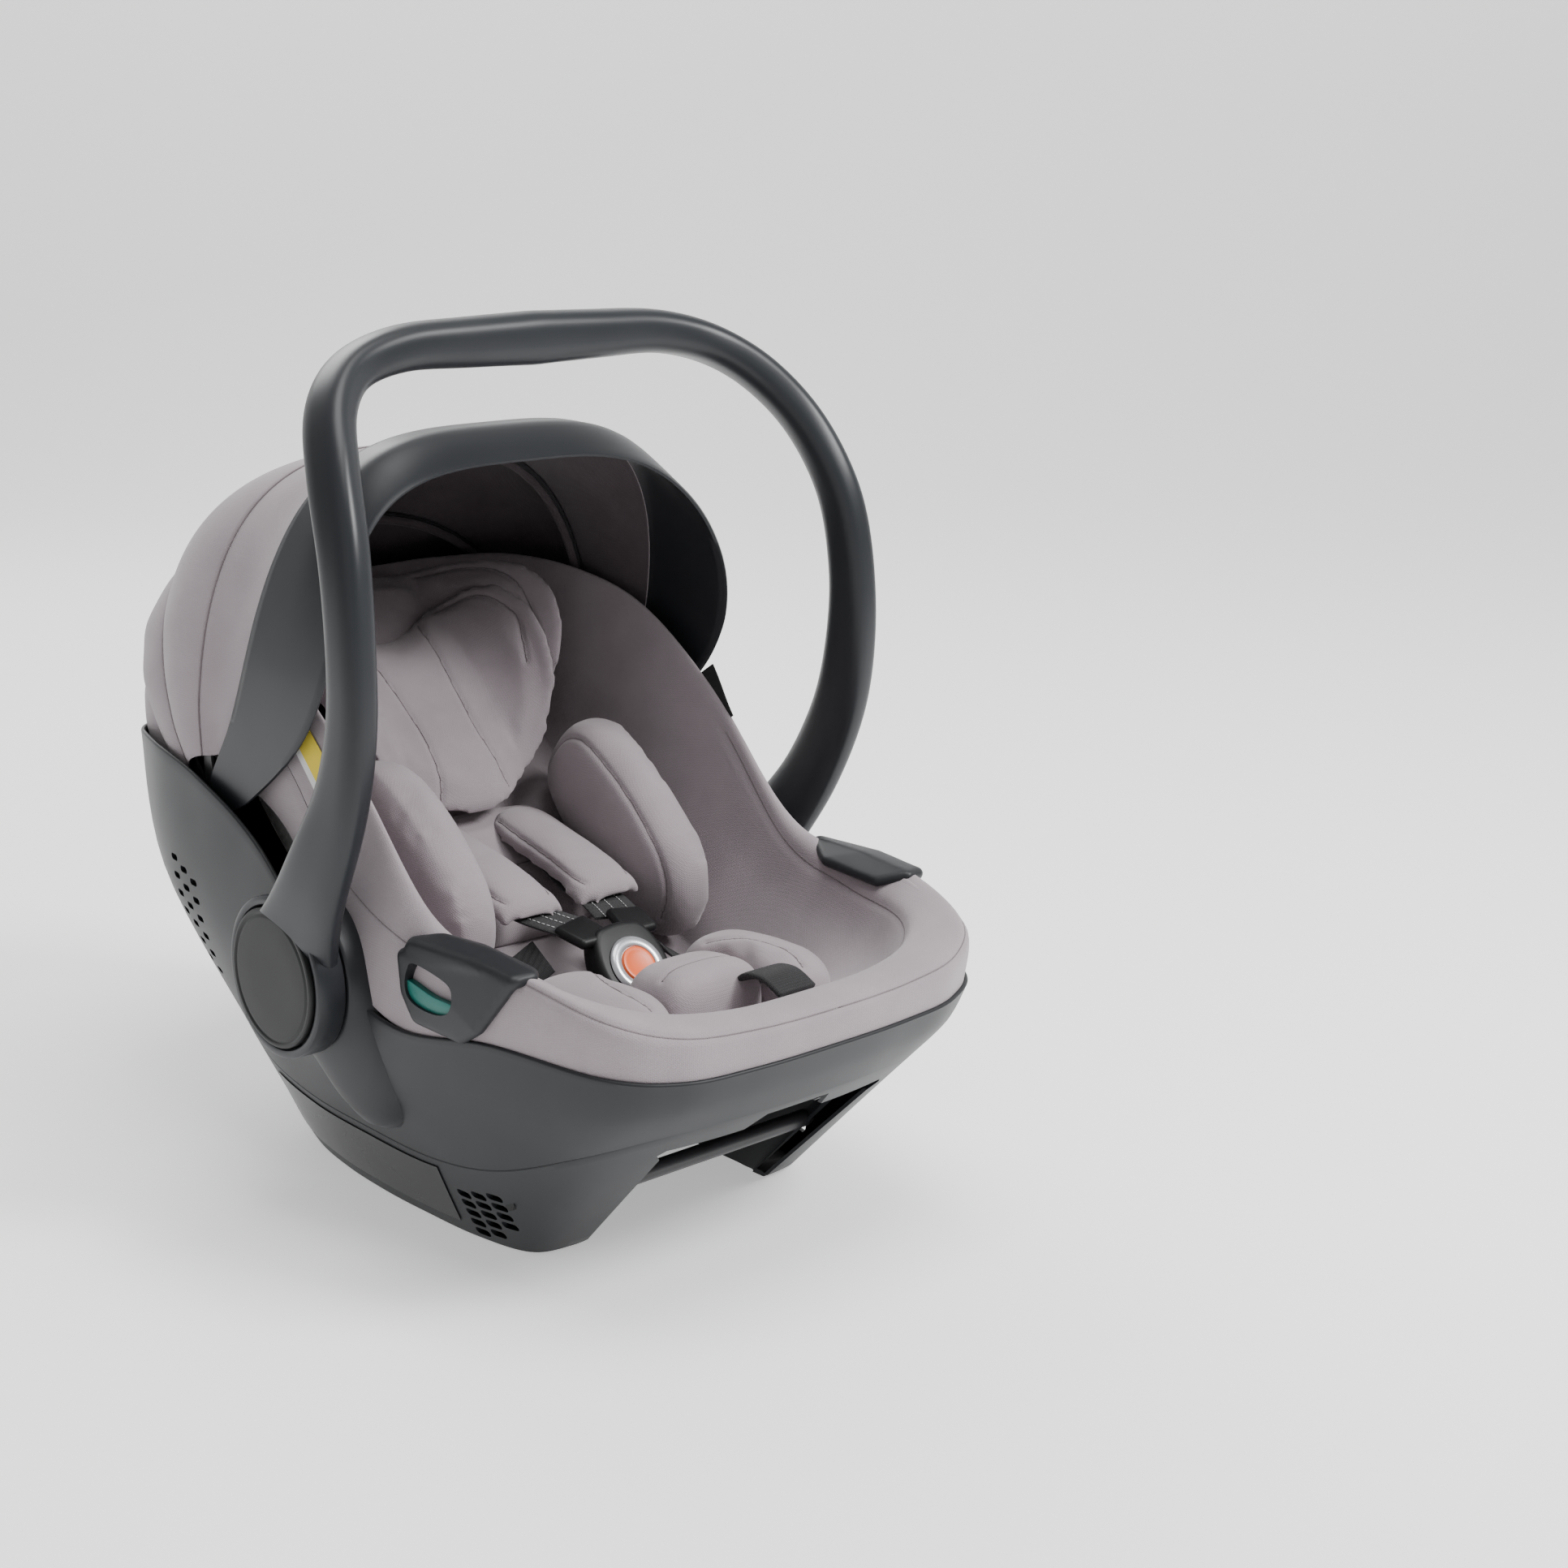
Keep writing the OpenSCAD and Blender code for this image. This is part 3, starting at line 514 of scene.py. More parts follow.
def stage():
    """A pale floor that turns up into a wall behind, four soft lights and an even white world."""
    bend, reach = 1.2, 30.0
    profile = [(-reach, 0.0)] + [(3.0 + bend * math.sin(q), bend - bend * math.cos(q))
                                 for q in np.linspace(0, math.pi / 2, 16)] + [(3.0 + bend, 5.0)]
    rows = [[(x, y, z) for x in (-20.0, 20.0)] for y, z in profile]
    points, faces = sheet_surface(rows)
    mesh = bpy.data.meshes.new("floor")
    mesh.from_pydata([tuple(p) for p in points], [], faces)
    floor = in_scene("floor", mesh)
    mesh.materials.append(new_material("floor_paint", (0.90, 0.90, 0.90), 0.9, Emission_Strength=0.50,
                                       Emission_Color=(1.0, 1.0, 1.0, 1)))
    smooth(floor)
    floor.rotation_euler = (0, 0, math.radians(CAMERA_AZIMUTH))
    lights = [("key", (1.2, -2.0, 2.3), 92.0, 0.9), ("fill", (-2.4, -1.2, 1.6), 5.0, 2.4),
              ("rim", (0.5, 2.3, 2.2), 40.0, 1.4), ("top", (0.1, -0.4, 2.9), 56.0, 1.6)]
    for name, spot, power, size in lights:
        lamp = bpy.data.lights.new(name, "AREA")
        lamp.energy = power
        lamp.size = size
        holder = in_scene(name, lamp)
        holder.location = spot
        holder.rotation_euler = (Vector((0, 0, 0.25)) - Vector(spot)).to_track_quat("-Z", "Y").to_euler()
    sky = bpy.data.worlds.new("studio")
    bpy.context.scene.world = sky
    sky.use_nodes = True
    sky.node_tree.nodes["Background"].inputs["Color"].default_value = (1.0, 1.0, 1.0, 1)
    sky.node_tree.nodes["Background"].inputs["Strength"].default_value = 0.36


CAMERA_AZIMUTH = -38.6115
CAMERA_ELEVATION = 14.8308
CAMERA_ROLL = -0.4817
CAMERA_PLACE = (-1.01577, HUB.y - 1.30301, 0.70478)
CAMERA_LENS = 55.82
CAMERA_SHIFT = (0.1423, 0.0028)


def camera():
    a, e, roll = (math.radians(v) for v in (CAMERA_AZIMUTH, CAMERA_ELEVATION, CAMERA_ROLL))
    back = Vector((math.sin(a) * math.cos(e), -math.cos(a) * math.cos(e), math.sin(e)))
    level = Vector((math.cos(a), math.sin(a), 0))
    upright = back.cross(level)
    right = level * math.cos(roll) + upright * math.sin(roll)
    up = upright * math.cos(roll) - level * math.sin(roll)
    data = bpy.data.cameras.new("camera")
    data.lens = CAMERA_LENS
    data.sensor_width = 36
    data.shift_x, data.shift_y = CAMERA_SHIFT
    eye = in_scene("camera", data)
    eye.matrix_world = Matrix.Translation(CAMERA_PLACE) @ Matrix((right, up, back)).transposed().to_4x4()
    bpy.context.scene.camera = eye


# ---- Outlines of the shell and padding, as in the CAD source ----

WALL = 3.5
COVER_T = 9.0
RIM_HALF = [[0, -303, 163], [65, -301, 163], [118, -293, 164], [158, -264, 168], [178, -180, 170],
            [186, -90, 158], [187, -10, 182], [187, 70, 246], [185, 150, 277], [175, 228, 287],
            [139, 304, 279], [80, 352, 268], [0, 369, 264]]
MID_HALF = [[0, -293, 143], [64, -291, 143], [117, -281, 141], [155, -250, 136], [173, -170, 124],
            [179, -90, 112], [182, -10, 120], [183, 70, 150], [180, 150, 170], [168, 225, 186],
            [132, 294, 194], [76, 340, 196], [0, 355, 197]]
SEAM_HALF = [[0, -278, 122], [60, -276, 122], [112, -262, 118], [145, -225, 102], [157, -160, 76],
             [158, -90, 62], [158, -10, 60], [155, 60, 60], [146, 130, 66], [131, 190, 84],
             [108, 240, 104], [58, 268, 112], [0, 273, 114]]
FOOT_HALF = [[0, -150, 2], [48, -152, 2], [92, -155, 2], [119, -143, 1], [130, -98, 0],
             [134, -45, 0], [135, 0, 0], [132, 50, 0], [124, 98, 1], [111, 140, 9],
             [90, 168, 24], [48, 182, 32], [0, 184, 34]]
TUNNEL_HALF = [[0, -142, 2], [45, -143, 2], [80, -143, 2], [86, -128, 1], [88, -95, 0],
               [89, -45, 0], [90, 0, 0], [88, 50, 0], [82, 85, 1], [70, 112, 9],
               [50, 128, 24], [25, 134, 32], [0, 135, 34]]
ROOF_HALF = [[0, -250, 104], [45, -248, 104], [84, -238, 102], [101, -200, 94], [104, -120, 74],
             [102, -60, 68], [100, -10, 66], [98, 50, 70], [92, 90, 80], [80, 120, 94],
             [56, 150, 108], [28, 165, 112], [0, 168, 113]]
PAN_HALF = [[0, -225, 116], [50, -223, 116], [85, -205, 112], [105, -165, 100], [116, -110, 90],
            [120, -60, 86], [122, -10, 86], [122, 50, 92], [118, 110, 106], [106, 160, 128],
            [82, 195, 146], [45, 210, 152], [0, 213, 154]]
TUCK_HALF = [[0, -301, 164], [64, -299, 164], [117, -291, 165], [156, -262, 169], [176, -179, 171],
             [183, -90, 160], [180, -15, 190], [165, 60, 252], [160, 140, 280], [147, 216, 288],
             [116, 282, 282], [64, 318, 272], [0, 330, 270]]
EDGE_HALF = [[0, -304, 190], [65, -302, 191], [119, -292, 195], [156, -262, 206], [173, -190, 220],
             [176, -100, 215], [174, -15, 245], [167, 60, 306], [163, 135, 336], [150, 212, 342],
             [118, 270, 336], [62, 298, 330], [0, 303, 328]]
CREST_HALF = [[0, -274, 192], [60, -272, 193], [108, -260, 198], [141, -228, 206], [153, -165, 213],
              [158, -95, 232], [161, -20, 308], [159, 60, 366], [153, 130, 388], [138, 204, 394],
              [104, 258, 388], [54, 280, 382], [0, 284, 380]]
SEAT_HALF = [[0, -215, 150], [45, -213, 150], [78, -197, 148], [97, -160, 141], [106, -110, 134],
             [111, -60, 131], [113, -5, 150], [115, 55, 196], [115, 112, 242], [112, 165, 286],
             [98, 214, 326], [56, 246, 352], [0, 254, 358]]
SEAT_LINE = [[-230, 158], [-160, 132], [-100, 124], [-40, 127], [20, 160], [254, 356], [300, 395]]
PAN_LINE = [[-230, 116], [-100, 84], [0, 84], [110, 100], [230, 156]]
RIM, MID, SEAM_RING, FOOT, TUNNEL, ROOF, PAN, TUCK, EDGE, CREST, SEAT = (
    outline(half) for half in (RIM_HALF, MID_HALF, SEAM_HALF, FOOT_HALF, TUNNEL_HALF, ROOF_HALF, PAN_HALF,
                               TUCK_HALF, EDGE_HALF, CREST_HALF, SEAT_HALF))
BOWL = CREST + (SEAT - CREST) * [0.3, 0.3, 0.45]


# ---- Hard shell and skirt ----

def outer_shell():
    outside = levels([RIM, MID, SEAM_RING], np.linspace(0, 1, 17))
    lip = [inset(RIM, WALL / 2 - WALL / 2 * math.cos(q), WALL / 2 * math.sin(q))
           for q in np.linspace(0, math.pi, 7)]
    inside = [inset(ring, WALL) for ring in outside[1:]]
    edge = inset(SEAM_RING, WALL)
    pan_in = [shrunk(PAN, s, PAN_LINE, WALL) for s in (0.2, 0.5, 0.8, 1.0)]
    pan_out = [shrunk(PAN, s, PAN_LINE, 0) for s in (1.0, 0.8, 0.5, 0.2)]
    rings = pan_in + [inset(SEAM_RING, WALL, WALL)] + inside[-2::-1] + lip[::-1] + outside + [edge] + pan_out
    made = new_object("shell", *surface(rings), MATERIALS["shell_plastic"])
    slots = [slot_cutter((-1, 164 + 15 * col, 196 - 14 * row + 6 * col), (80, 11, 5), 168)
             for col in range(3) for row in range(6) if not (col == 2 and row > 3)]
    cut(made, join("slots", slots))
    smooth(made, 32)
    place(made, "root", "shell_plastic", "outer_shell")


def slot_cutter(spot, size, x):
    """A slot with round ends that runs along X through one wall."""
    side, y, z = spot
    length, wide, tall = size
    r = tall / 2
    section = [(y + math.copysign(wide / 2 - r, math.cos(q)) + r * math.cos(q), z + r * math.sin(q))
            for q in turns(20) + 0.05]
    return bar_along_x("slot", section, side, (x - length / 2, x + length / 2), MATERIALS["black_plastic"])


def bar_along_x(name, section, side, ends, material):
    rings = [[[side * x, y, z] for y, z in section] for x in ends]
    return new_object(name, *surface(rings), material)


def base_skirt():
    top = inset(SEAM_RING, 1, -0.5)
    flank = (SEAM_RING + FOOT) / 2
    belly = levels([SEAM_RING, flank, FOOT], np.linspace(0.04, 0.96, 14))
    foot_round = [inset(FOOT, 2 - 2 * math.cos(q), 2 - 2 * math.sin(q))
                  for q in np.linspace(0, math.pi / 2, 4)]
    foot_in = inset(FOOT, WALL, WALL)
    rings = ([top] + belly + foot_round
             + [TUNNEL, ROOF, inset(ROOF, -WALL), inset(TUNNEL, -WALL, WALL), foot_in]
             + [inset(ring, WALL) for ring in belly[::-4]] + [inset(top, WALL)])
    made = new_object("skirt", *surface(rings, closed=True), MATERIALS["shell_plastic"])
    bottom, high = 80, 98
    arch = [(-bottom, -10), (-high + 6, 92), (-high, 98), (-high + 4, 102), (-34, 102), (-27, 115), (27, 115),
            (34, 102), (high - 4, 102), (high, 98), (high - 6, 92), (bottom, -10)]
    rings = [[[x, y, z] for x, z in arch] for y in (-330, -110)]
    cut(made, new_object("arch", *surface(rings), MATERIALS["black_plastic"]))
    rows, pitch = 5, 7.9
    for side in SIDES.values():
        slots = [slot_cutter((side, -110 - 15.5 * col, 8 + pitch * row + 3.8 * col), (70, 13.2, 5.4), 130)
                 for col in range(3) for row in range(rows) if not (col == 2 and row == 0)]
        cut(made, join("vents", slots))
    smooth(made, 32)
    place(made, "root", "shell_plastic", "base_skirt")
    skirt_label()


def skirt_label():
    """A blank dark label that follows the side of the skirt."""
    rings = levels([SEAM_RING, (SEAM_RING + FOOT) / 2, FOOT], np.linspace(0.16, 0.80, 12))
    rows = []
    for ring in rings:
        ring = inset(ring, -0.5)
        side = ring[ring[:, 0] < -60]
        side = side[np.argsort(side[:, 1])]
        rows.append([[np.interp(y, side[:, 1], side[:, 0]), y, np.interp(y, side[:, 1], side[:, 2])]
                     for y in np.linspace(-92, 118, 60)])
    made = new_object("skirt_label", *sheet_surface(rows), LABEL)
    thicken(made, 0.4, 1.0)
    smooth(made, 40)
    place(made, "root", "shell_plastic")


def teardrop(x, radius, tip, blend):
    """A circle round the handle axis that reaches out to a tip below, in the plane at x."""
    tip = np.array(tip, float)
    reach, heading = np.hypot(*tip), math.atan2(tip[1], tip[0])
    ring = []
    for q in turns(96):
        off = (q - heading + math.pi) % (2 * math.pi) - math.pi
        r = radius + blend * (reach - radius) * math.exp(-(off / 0.62) ** 2)
        ring.append([x, r * math.cos(q), HUB_Z + r * math.sin(q)])
    return ring


def hub_bosses():
    for name, side in SIDES.items():
        steps = [(166, 50, 1.0), (172, 52, 0.98), (178, 53.2, 0.93), (183, 53.8, 0.78), (187, 54, 0.52),
                 (190.5, 54, 0.24), (193, 54, 0.08), (194.6, 53.8, 0.02), (195.4, 53.0, 0), (195.5, 51, 0)]
        rings = [mirrored(teardrop(x, r, (-70, -96), k), side) for x, r, k in steps]
        made = new_object(f"hub_pod_{name}", *surface(rings), MATERIALS["shell_plastic"])
        smooth(made, 40)
        place(made, "root", "shell_plastic", f"hub_boss_{name}")


# ---- Handle ----

GRIP_Z = 580.0
HANDLE_HALF = np.array([[207, 0, HUB_Z], [214, -28, HUB_Z + 38], [219, -56, HUB_Z + 80], [217, -84, 310],
                        [215, -96, 362], [214, -96, 414], [210, -86, 466], [200, -62, 512], [182, -34, 546],
                        [152, -13, 568], [108, -4, GRIP_Z - 1], [54, -3, GRIP_Z], [0, -3, GRIP_Z]], float)
HANDLE_ACROSS = [[0, 9.5], [0.08, 10.5], [0.2, 12], [0.36, 13], [0.5, 18]]
HANDLE_ALONG = [[0, 40], [0.025, 36], [0.045, 30.5], [0.07, 27], [0.12, 22.5], [0.2, 17.5], [0.36, 16.5],
                [0.5, 16]]
HANDLE_ROUND = 0.72                               # 1 gives an oval section, less a squarer one
BARREL_R = 55.0


def handle_point(u):
    if u <= 0.5:
        return path_at(HANDLE_HALF, u * 2)
    return path_at(HANDLE_HALF, (1 - u) * 2) * [-1, 1, 1]


def handle():
    rings = []
    stations = 180
    corners = 48
    for i in range(stations + 1):
        u = 0.012 + 0.976 * i / stations
        p = handle_point(u)
        along = unit(handle_point(u + 0.004) - handle_point(u - 0.004))
        out = unit(p - [0, p[1], 330])
        a = unit(out - along * (out @ along))
        b = np.cross(along, a)
        w = min(u, 1 - u)
        half_a = np.interp(w, *np.array(HANDLE_ACROSS).T)
        half_b = np.interp(w, *np.array(HANDLE_ALONG).T)
        ring = []
        for q in turns(corners):
            c, s = math.cos(q), math.sin(q)
            c, s = math.copysign(abs(c) ** HANDLE_ROUND, c), math.copysign(abs(s) ** HANDLE_ROUND, s)
            ring.append(p + a * (half_a * c) + b * (half_b * s))
        rings.append(ring)
    rings = np.array(rings)
    for _ in range(2):                            # so that the widths change smoothly
        rings[1:-1] = (rings[:-2] + rings[1:-1] * 2 + rings[2:]) / 4
    made = new_object("handle_bow", *surface(rings), MATERIALS["handle_plastic"])
    for side in SIDES.values():                    # room for the hub caps
        cut(made, lathe("recess", [(206, 1), (206, 48), (240, 48), (240, 1)], side,
                        MATERIALS["handle_plastic"]))
    smooth(made, 40)
    place(made, "handle", "handle_plastic", "handle")
    r = BARREL_R
    for name, side in SIDES.items():
        profile = [(197.5, 12), (197.5, r - 2), (198.2, r - 0.6), (199.5, r), (216.0, r), (217.6, r - 0.5),
                   (218.4, r - 1.6), (218.5, r - 4.5), (218.0, r - 5.6), (216.6, r - 6.2),
                   (216.0, r - 6.8), (206.0, r - 7), (206.0, 12)]
        barrel = lathe(f"handle_barrel_{name}", profile, side, MATERIALS["handle_plastic"])
        place(barrel, "handle", "handle_plastic")
        cap = [(219.2, 4), (219.2, 20), (218.6, 21), (215.8, 21.5), (215.8, 46.6), (216.6, 47.4),
               (219.6, 47.5), (220.6, 47.0), (221.0, 46.0), (221.0, 44.6), (220.6, 43.9), (220.3, 43.4),
               (220.4, 42.4), (220.9, 41.6), (221.0, 40.5), (221.2, 25), (221.3, 4)]
        face = lathe(f"hub_cap_face_{name}", cap, side, MATERIALS["black_plastic"])
        place(face, f"hub_cap_{name}", "black_plastic", f"hub_cap_{name}")


# ---- Canopy ----

BAND_W, BAND_LOW, BAND_T = 181.0, 246.0, 3.0
BAND_LINE = np.array([[246, 138, 160], [250, 133, 158], [262, 106, 150], [280, 77, 139], [320, 26, 111],
                      [360, -2, 92], [400, -13, 80], [440, -11, 70], [480, -1, 61], [502, 5, 55],
                      [520, 12, 50]], float)
FAN_R = np.array([[-24, 292], [-10, 270], [0, 256], [12, 243], [25, 230], [38, 221], [50, 216], [66, 213],
                  [84, 206]], float)
FAN_W = np.array([[-24, 173], [20, 173], [45, 167], [66, 155], [84, 141]], float)
BAND_FRONT, BAND_CROWN, BAND_REAR = 500, 517, 520    # tops of the band's front edge, crown and rear edge


def band_point(z_top, edge, t, d):
    """A point of the band's front (edge 1) or rear (edge 2) line at t across, d inside it."""
    across, up = squircle(t, 3.4)
    z = BAND_LOW + (z_top - d - BAND_LOW) * up
    tuck_in = 5 * max(0, 1 - (z - BAND_LOW) / 120)
    y = smooth_lookup(BAND_LINE[:, 0], BAND_LINE[:, edge], z)
    return np.array([-(BAND_W - d - tuck_in) * across, y, z])


def smooth_lookup(xs, ys, x):
    """Like a table lookup, but smooth at the table's points."""
    slopes = np.gradient(ys, xs)
    k = int(np.clip(np.searchsorted(xs, x) - 1, 0, len(xs) - 2))
    h = xs[k + 1] - xs[k]
    t = min(max((x - xs[k]) / h, 0), 1)
    return ((2 * t ** 3 - 3 * t ** 2 + 1) * ys[k] + (t ** 3 - 2 * t ** 2 + t) * h * slopes[k]
            + (3 * t ** 2 - 2 * t ** 3) * ys[k + 1] + (t ** 3 - t ** 2) * h * slopes[k + 1])


def fan_point(a, t, d=0.0):
    """A point of the canopy at the angle a back from vertical and t across, d inside it."""
    across, up = squircle(t, 3)
    r = smooth_lookup(FAN_R[:, 0], FAN_R[:, 1], a) - d
    swell = np.interp(a, [-24, 0], [0, 7]) * min(1, up * 3)
    w = smooth_lookup(FAN_W[:, 0], FAN_W[:, 1], a) + swell - d
    angle = math.radians(a)
    return np.array([-w * across, PIVOT_Y + r * up * math.sin(angle), PIVOT_Z + r * up * math.cos(angle)])


def canopy_band():
    rings = []
    for t in np.linspace(0, math.pi, 161):
        front, front_in = (band_point(BAND_FRONT, 1, t, d) for d in (0, BAND_T))
        rear, rear_in = (band_point(BAND_REAR, 2, t, d) for d in (0, BAND_T))
        crown, crown_in = ((band_point(BAND_CROWN, 1, t, d) + band_point(BAND_REAR, 2, t, d)) / 2
                           for d in (0, BAND_T))
        outer = smooth_path([front, (front + crown) / 2 + [0, 0, 1], crown,
                             (crown + rear) / 2 + [0, 0, 0.4], rear], 13)
        inner = smooth_path([rear_in, crown_in, front_in], 9)
        roll = (front + front_in) / 2 + [0, -1.3, 0]
        back = (rear + rear_in) / 2 + [0, 1.0, 0]
        rings.append([*outer, back, *inner, roll])
    made = new_object("canopy_band", *surface(rings), MATERIALS["handle_plastic"])
    smooth(made, 60)
    pads = []
    for side in SIDES.values():
        rings = [[[side * x, PIVOT_Y - 1 + r * math.sin(q), PIVOT_Z + 4 + r * math.cos(q)] for q in turns(40)]
                 for x, r in ((174.4, 8), (174.4, 9), (176.4, 9), (176.6, 8))]
        pads.append(new_object("eye", *surface(rings), MATERIALS["handle_plastic"]))
    made = join("canopy_band", [made] + pads)
    place(made, "rim", "handle_plastic", "canopy_rim")


PANEL_ROWS, PANEL_COLUMNS, PANEL_LOW = 26, 120, 0.2


def panel_rows(a0, a1, puff):
    across = np.linspace(PANEL_LOW, math.pi - PANEL_LOW, PANEL_COLUMNS + 1)
    grid = []
    for i in range(PANEL_ROWS + 1):
        f = i / PANEL_ROWS
        lift = puff * math.sin(math.pi * f) ** 0.75
        a = a0 + (a1 - a0) * f
        if a0 < 0:
            grid.append([path_at(np.array([tucked(t), fan_point(-13, t, 0.5), fan_point(0, t)]), f)
                         for t in across])
        else:
            grid.append([fan_point(a, t, -lift * min(1, math.sin(t) / 0.7)) for t in across])
    return grid


def tucked(t):
    """A point of the canopy's front edge, fixed under the band."""
    return band_point(BAND_REAR - 1, 2, t, BAND_T + 0.8) + [0, -9, 0]


def arc_length(points):
    points = world(points)
    return float(np.linalg.norm(np.diff(points, axis=0), axis=1).sum())


def canopy_panels():
    spans = {"front": (-24, 0, 1.0, "rim", "rib_front"), "middle": (0, 32, 8.0, "rib_front", "rib_rear"),
             "rear": (32, 60, 8.0, "rib_rear", "root"), "tail": (60, 84, 6.0, "root", None)}
    for name, (a0, a1, puff, ahead, behind) in spans.items():
        grid = panel_rows(a0, a1, puff)
        made = new_object(f"canopy_{name}", *sheet_surface(grid), MATERIALS["canopy_fabric"])
        wrinkle(made, a0, a1)
        thicken(made, 1.2)
        line_inside(made)
        smooth(made)
        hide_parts(f"canopy_panel_{name}")
        area = grid_area(grid)
        wide = max(arc_length(row) for row in grid)
        deep = max(arc_length(column) for column in np.array(grid).transpose(1, 0, 2))
        if behind is None:
            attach(made, ahead)
            continue
        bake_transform(made)
        across = np.linspace(PANEL_LOW, math.pi - PANEL_LOW, PANEL_COLUMNS + 1)
        hem = tube(f"canopy_seam_{name}", [fan_point(a1, t, -0.2) for t in across], 0.8, SEAM, sides=8)
        place(hem, behind, "canopy_fabric")


def line_inside(made):
    """The darker lining on the side that faces the child."""
    made.data.materials.append(LINING)
    for face in made.data.polygons:
        if (face.center - PIVOT) @ face.normal < 0:
            face.material_index = 1


def wrinkle(made, a0, a1):
    """Slight waves that run from seam to seam, as stretched fabric has."""
    for vertex in made.data.vertices:
        p = vertex.co
        turn = math.atan2(p.x, p.z - PIVOT.z + 0.02)
        a = math.degrees(math.atan2(p.y - PIVOT.y, p.z - PIVOT.z))
        f = min(max((a - a0) / (a1 - a0), 0), 1)
        wave = math.sin(turn * 23 + math.sin(turn * 7) * 2) * 0.0005 * math.sin(math.pi * f)
        vertex.co += vertex.normal * wave


def grid_area(grid):
    g = world(grid)
    a, b, c, d = g[:-1, :-1], g[:-1, 1:], g[1:, 1:], g[1:, :-1]
    halves = [np.linalg.norm(np.cross(p, q), axis=2) for p, q in ((b - a, c - a), (c - a, d - a))]
    return float((halves[0] + halves[1]).sum() / 2)


def canopy_sleeves():
    """Fabric sleeves round the two ribs, inside the canopy."""
    for name, angle in (("front", 0), ("rear", 32)):
        route = [fan_point(angle, t, 7.0) for t in np.linspace(0.42, math.pi - 0.42, 90)]
        made = tube(f"canopy_sleeve_{name}", route, 3.4, LINING, sides=14)
        place(made, f"rib_{name}", "canopy_fabric")


# ---- Cover and cushions ----

CLOTH_VOXEL = 4.0
CLOTH_FRAMES = 20

def seat_cover():
    def lining(d):
        return [inset(TUCK, d), inset(EDGE, d), inset(CREST, 0, -d), inset(BOWL, -d * 0.7, -d * 0.6),
                inset(SEAT, -d * 0.6, -d)]
    floor = [shrunk(SEAT, s, SEAT_LINE, 0) for s in (0.1, 0.3, 0.5, 0.7, 0.85)]
    under = [ring - [0, 0, COVER_T] for ring in floor[::-1]]
    steps = np.linspace(0, 1, 49)
    top = levels(lining(0), steps)
    hem = [inset(TUCK, 2, -2.5), inset(TUCK, 6, -2.5)]
    rings = floor + top[::-1] + hem + levels(lining(COVER_T), steps[::3]) + under
    made = new_object("cover", *surface(rings), MATERIALS["cover_fabric"])
    smooth(made)
    ring = path_at(np.array(lining(0)), 0.24)
    stitched(made, np.vstack([ring, ring[:1]]), "root", "cover_seam_lip", 2.4, 1.6)
    ring = path_at(np.array(lining(0)), 0.58)
    stitched(made, np.roll(ring, AROUND // 4, 0)[:AROUND // 2], "root", "cover_seam_front", 2.4, 1.3)
    place(made, "root", "cover_fabric", "seat_cover")


def snapped(made, route, sink=0.0):
    """The route laid onto a surface, in millimetres, moved a little under it."""
    mesh = made.data
    tree = BVHTree.FromPolygons([v.co.copy() for v in mesh.vertices],
                                [list(f.vertices) for f in mesh.polygons])
    found = [tree.find_nearest(Vector(p)) for p in world(route)]
    laid = np.array([(np.array(spot) - np.array(normal) * sink * MM) / MM for spot, normal, _, _ in found])
    return laid - [0, HUB.y / MM, 0]


def stitched(made, route, body, name, width=2.2, depth=1.4):
    """A seam: a groove along the route with a fine line of thread in it."""
    laid = snapped(made, route)
    keep = [laid[0]]
    for p in laid[1:]:
        if np.linalg.norm(p - keep[-1]) > 0.8:
            keep.append(p)
    laid = np.array(keep)
    for _ in range(2):
        laid[1:-1] = (laid[:-2] + laid[1:-1] * 2 + laid[2:]) / 4
    grooved(made, laid, width, depth)
    thread = tube(name, snapped(made, laid, 0.15), 0.5, SEAM, sides=6)
    place(thread, body, "cover_fabric")


def pillow(name, edge, mapping, thickness, power):
    """A closed cushion over an outline. mapping turns (u, v, height) into a point."""
    loop = round_loop(edge, 150)
    middle = loop.mean(0)
    built = []
    for s in (0.03, 0.3, 0.6, 0.85):
        built.append([mapping(*(middle + (p - middle) * s), 0.0) for p in loop])
    for q in np.linspace(0, math.pi / 2, 14, endpoint=False):
        s, h = math.cos(q) ** (2 / power), thickness * math.sin(q) ** (2 / power)
        built.append([mapping(*(middle + (p - middle) * s), h) for p in loop])
    built.append([mapping(*(middle + (p - middle) * 0.03), thickness) for p in loop])
    made = new_object(name, *surface(built), MATERIALS["cover_fabric"])
    smooth(made)
    return made


